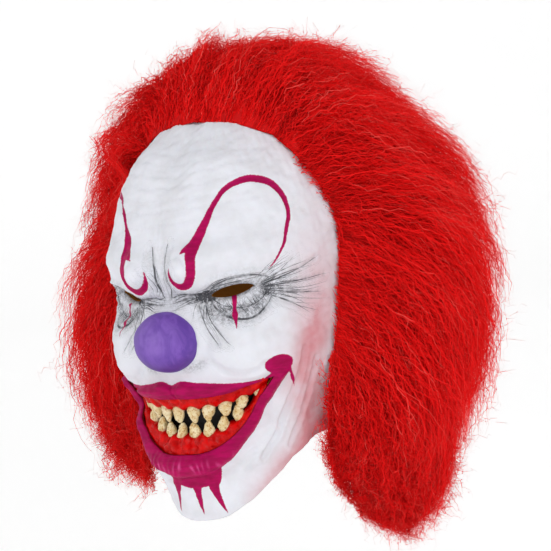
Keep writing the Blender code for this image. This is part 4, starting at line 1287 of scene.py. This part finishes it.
def build_camera():
    a, e = math.radians(CAMERA_AZIMUTH), math.radians(CAMERA_ELEVATION)
    place = CAMERA_DISTANCE * Vector((math.sin(a) * math.cos(e), -math.cos(a) * math.cos(e), math.sin(e)))
    data = bpy.data.cameras.new("camera")
    data.sensor_width = 36
    data.lens = data.sensor_width * CAMERA_DISTANCE / VIEW_SPAN
    data.shift_x, data.shift_y = FRAME_RIGHT, FRAME_UP
    camera = bpy.data.objects.new("camera", data)
    aim = (-place).to_track_quat("-Z", "Y").to_matrix().to_4x4()
    roll = Matrix.Rotation(-math.radians(CAMERA_ROLL), 4, "Z")
    camera.matrix_world = Matrix.Translation(place) @ aim @ roll
    bpy.context.scene.collection.objects.link(camera)
    bpy.context.scene.camera = camera


def build_stage():
    """A pale sweep: a floor under the mask that curves up behind it, seen from every side."""
    rows = [(1.2, -0.34), (2.2, -0.34), (3.0, -0.20), (3.5, 0.35), (3.7, 1.3), (3.7, 3.2)]
    around = 64
    verts = [(r * math.cos(2 * math.pi * k / around), r * math.sin(2 * math.pi * k / around), z)
             for r, z in rows for k in range(around)] + [(0, 0, rows[0][1])]
    sides = [(k, (k + 1) % around) for k in range(around)]
    faces = [(low + k, low + after, low + around + after, low + around + k)
             for low in range(0, (len(rows) - 1) * around, around) for k, after in sides]
    faces += [(len(verts) - 1, after, k) for k, after in sides]
    mesh = bpy.data.meshes.new("sweep")
    mesh.from_pydata(verts, [], faces)
    mesh.shade_smooth()
    mesh.materials.append(Nodes("sweep_white").set(
        Base_Color=(0.92, 0.92, 0.92), Roughness=0.9, Emission_Color=(1, 1, 1), Emission_Strength=0.30))
    sweep = bpy.data.objects.new("sweep", mesh)
    bpy.context.scene.collection.objects.link(sweep)


def area_light(name, place, size, power):
    data = bpy.data.lights.new(name, "AREA")
    data.shape, data.size, data.energy = "DISK", size, power
    lamp = bpy.data.objects.new(name, data)
    lamp.location = place
    lamp.rotation_euler = (-Vector(place)).to_track_quat("-Z", "Y").to_euler()
    bpy.context.scene.collection.objects.link(lamp)


def build_light():
    world = bpy.data.worlds.new("soft_sky")
    world.use_nodes = True
    world.node_tree.nodes["Background"].inputs["Color"].default_value = (1, 1, 1, 1)
    world.node_tree.nodes["Background"].inputs["Strength"].default_value = 0.34
    bpy.context.scene.world = world
    area_light("key", (1.3, -1.1, 1.5), 1.0, 9)
    area_light("fill", (-0.7, -1.9, 0.5), 1.2, 2)
    area_light("rim", (0.9, 1.6, 1.2), 1.2, 5)
    bpy.context.scene.view_settings.view_transform = "Standard"


build_camera()
build_stage()
build_light()
build_face()
build_rear()
build_nose()
build_mouth()
build_wig()
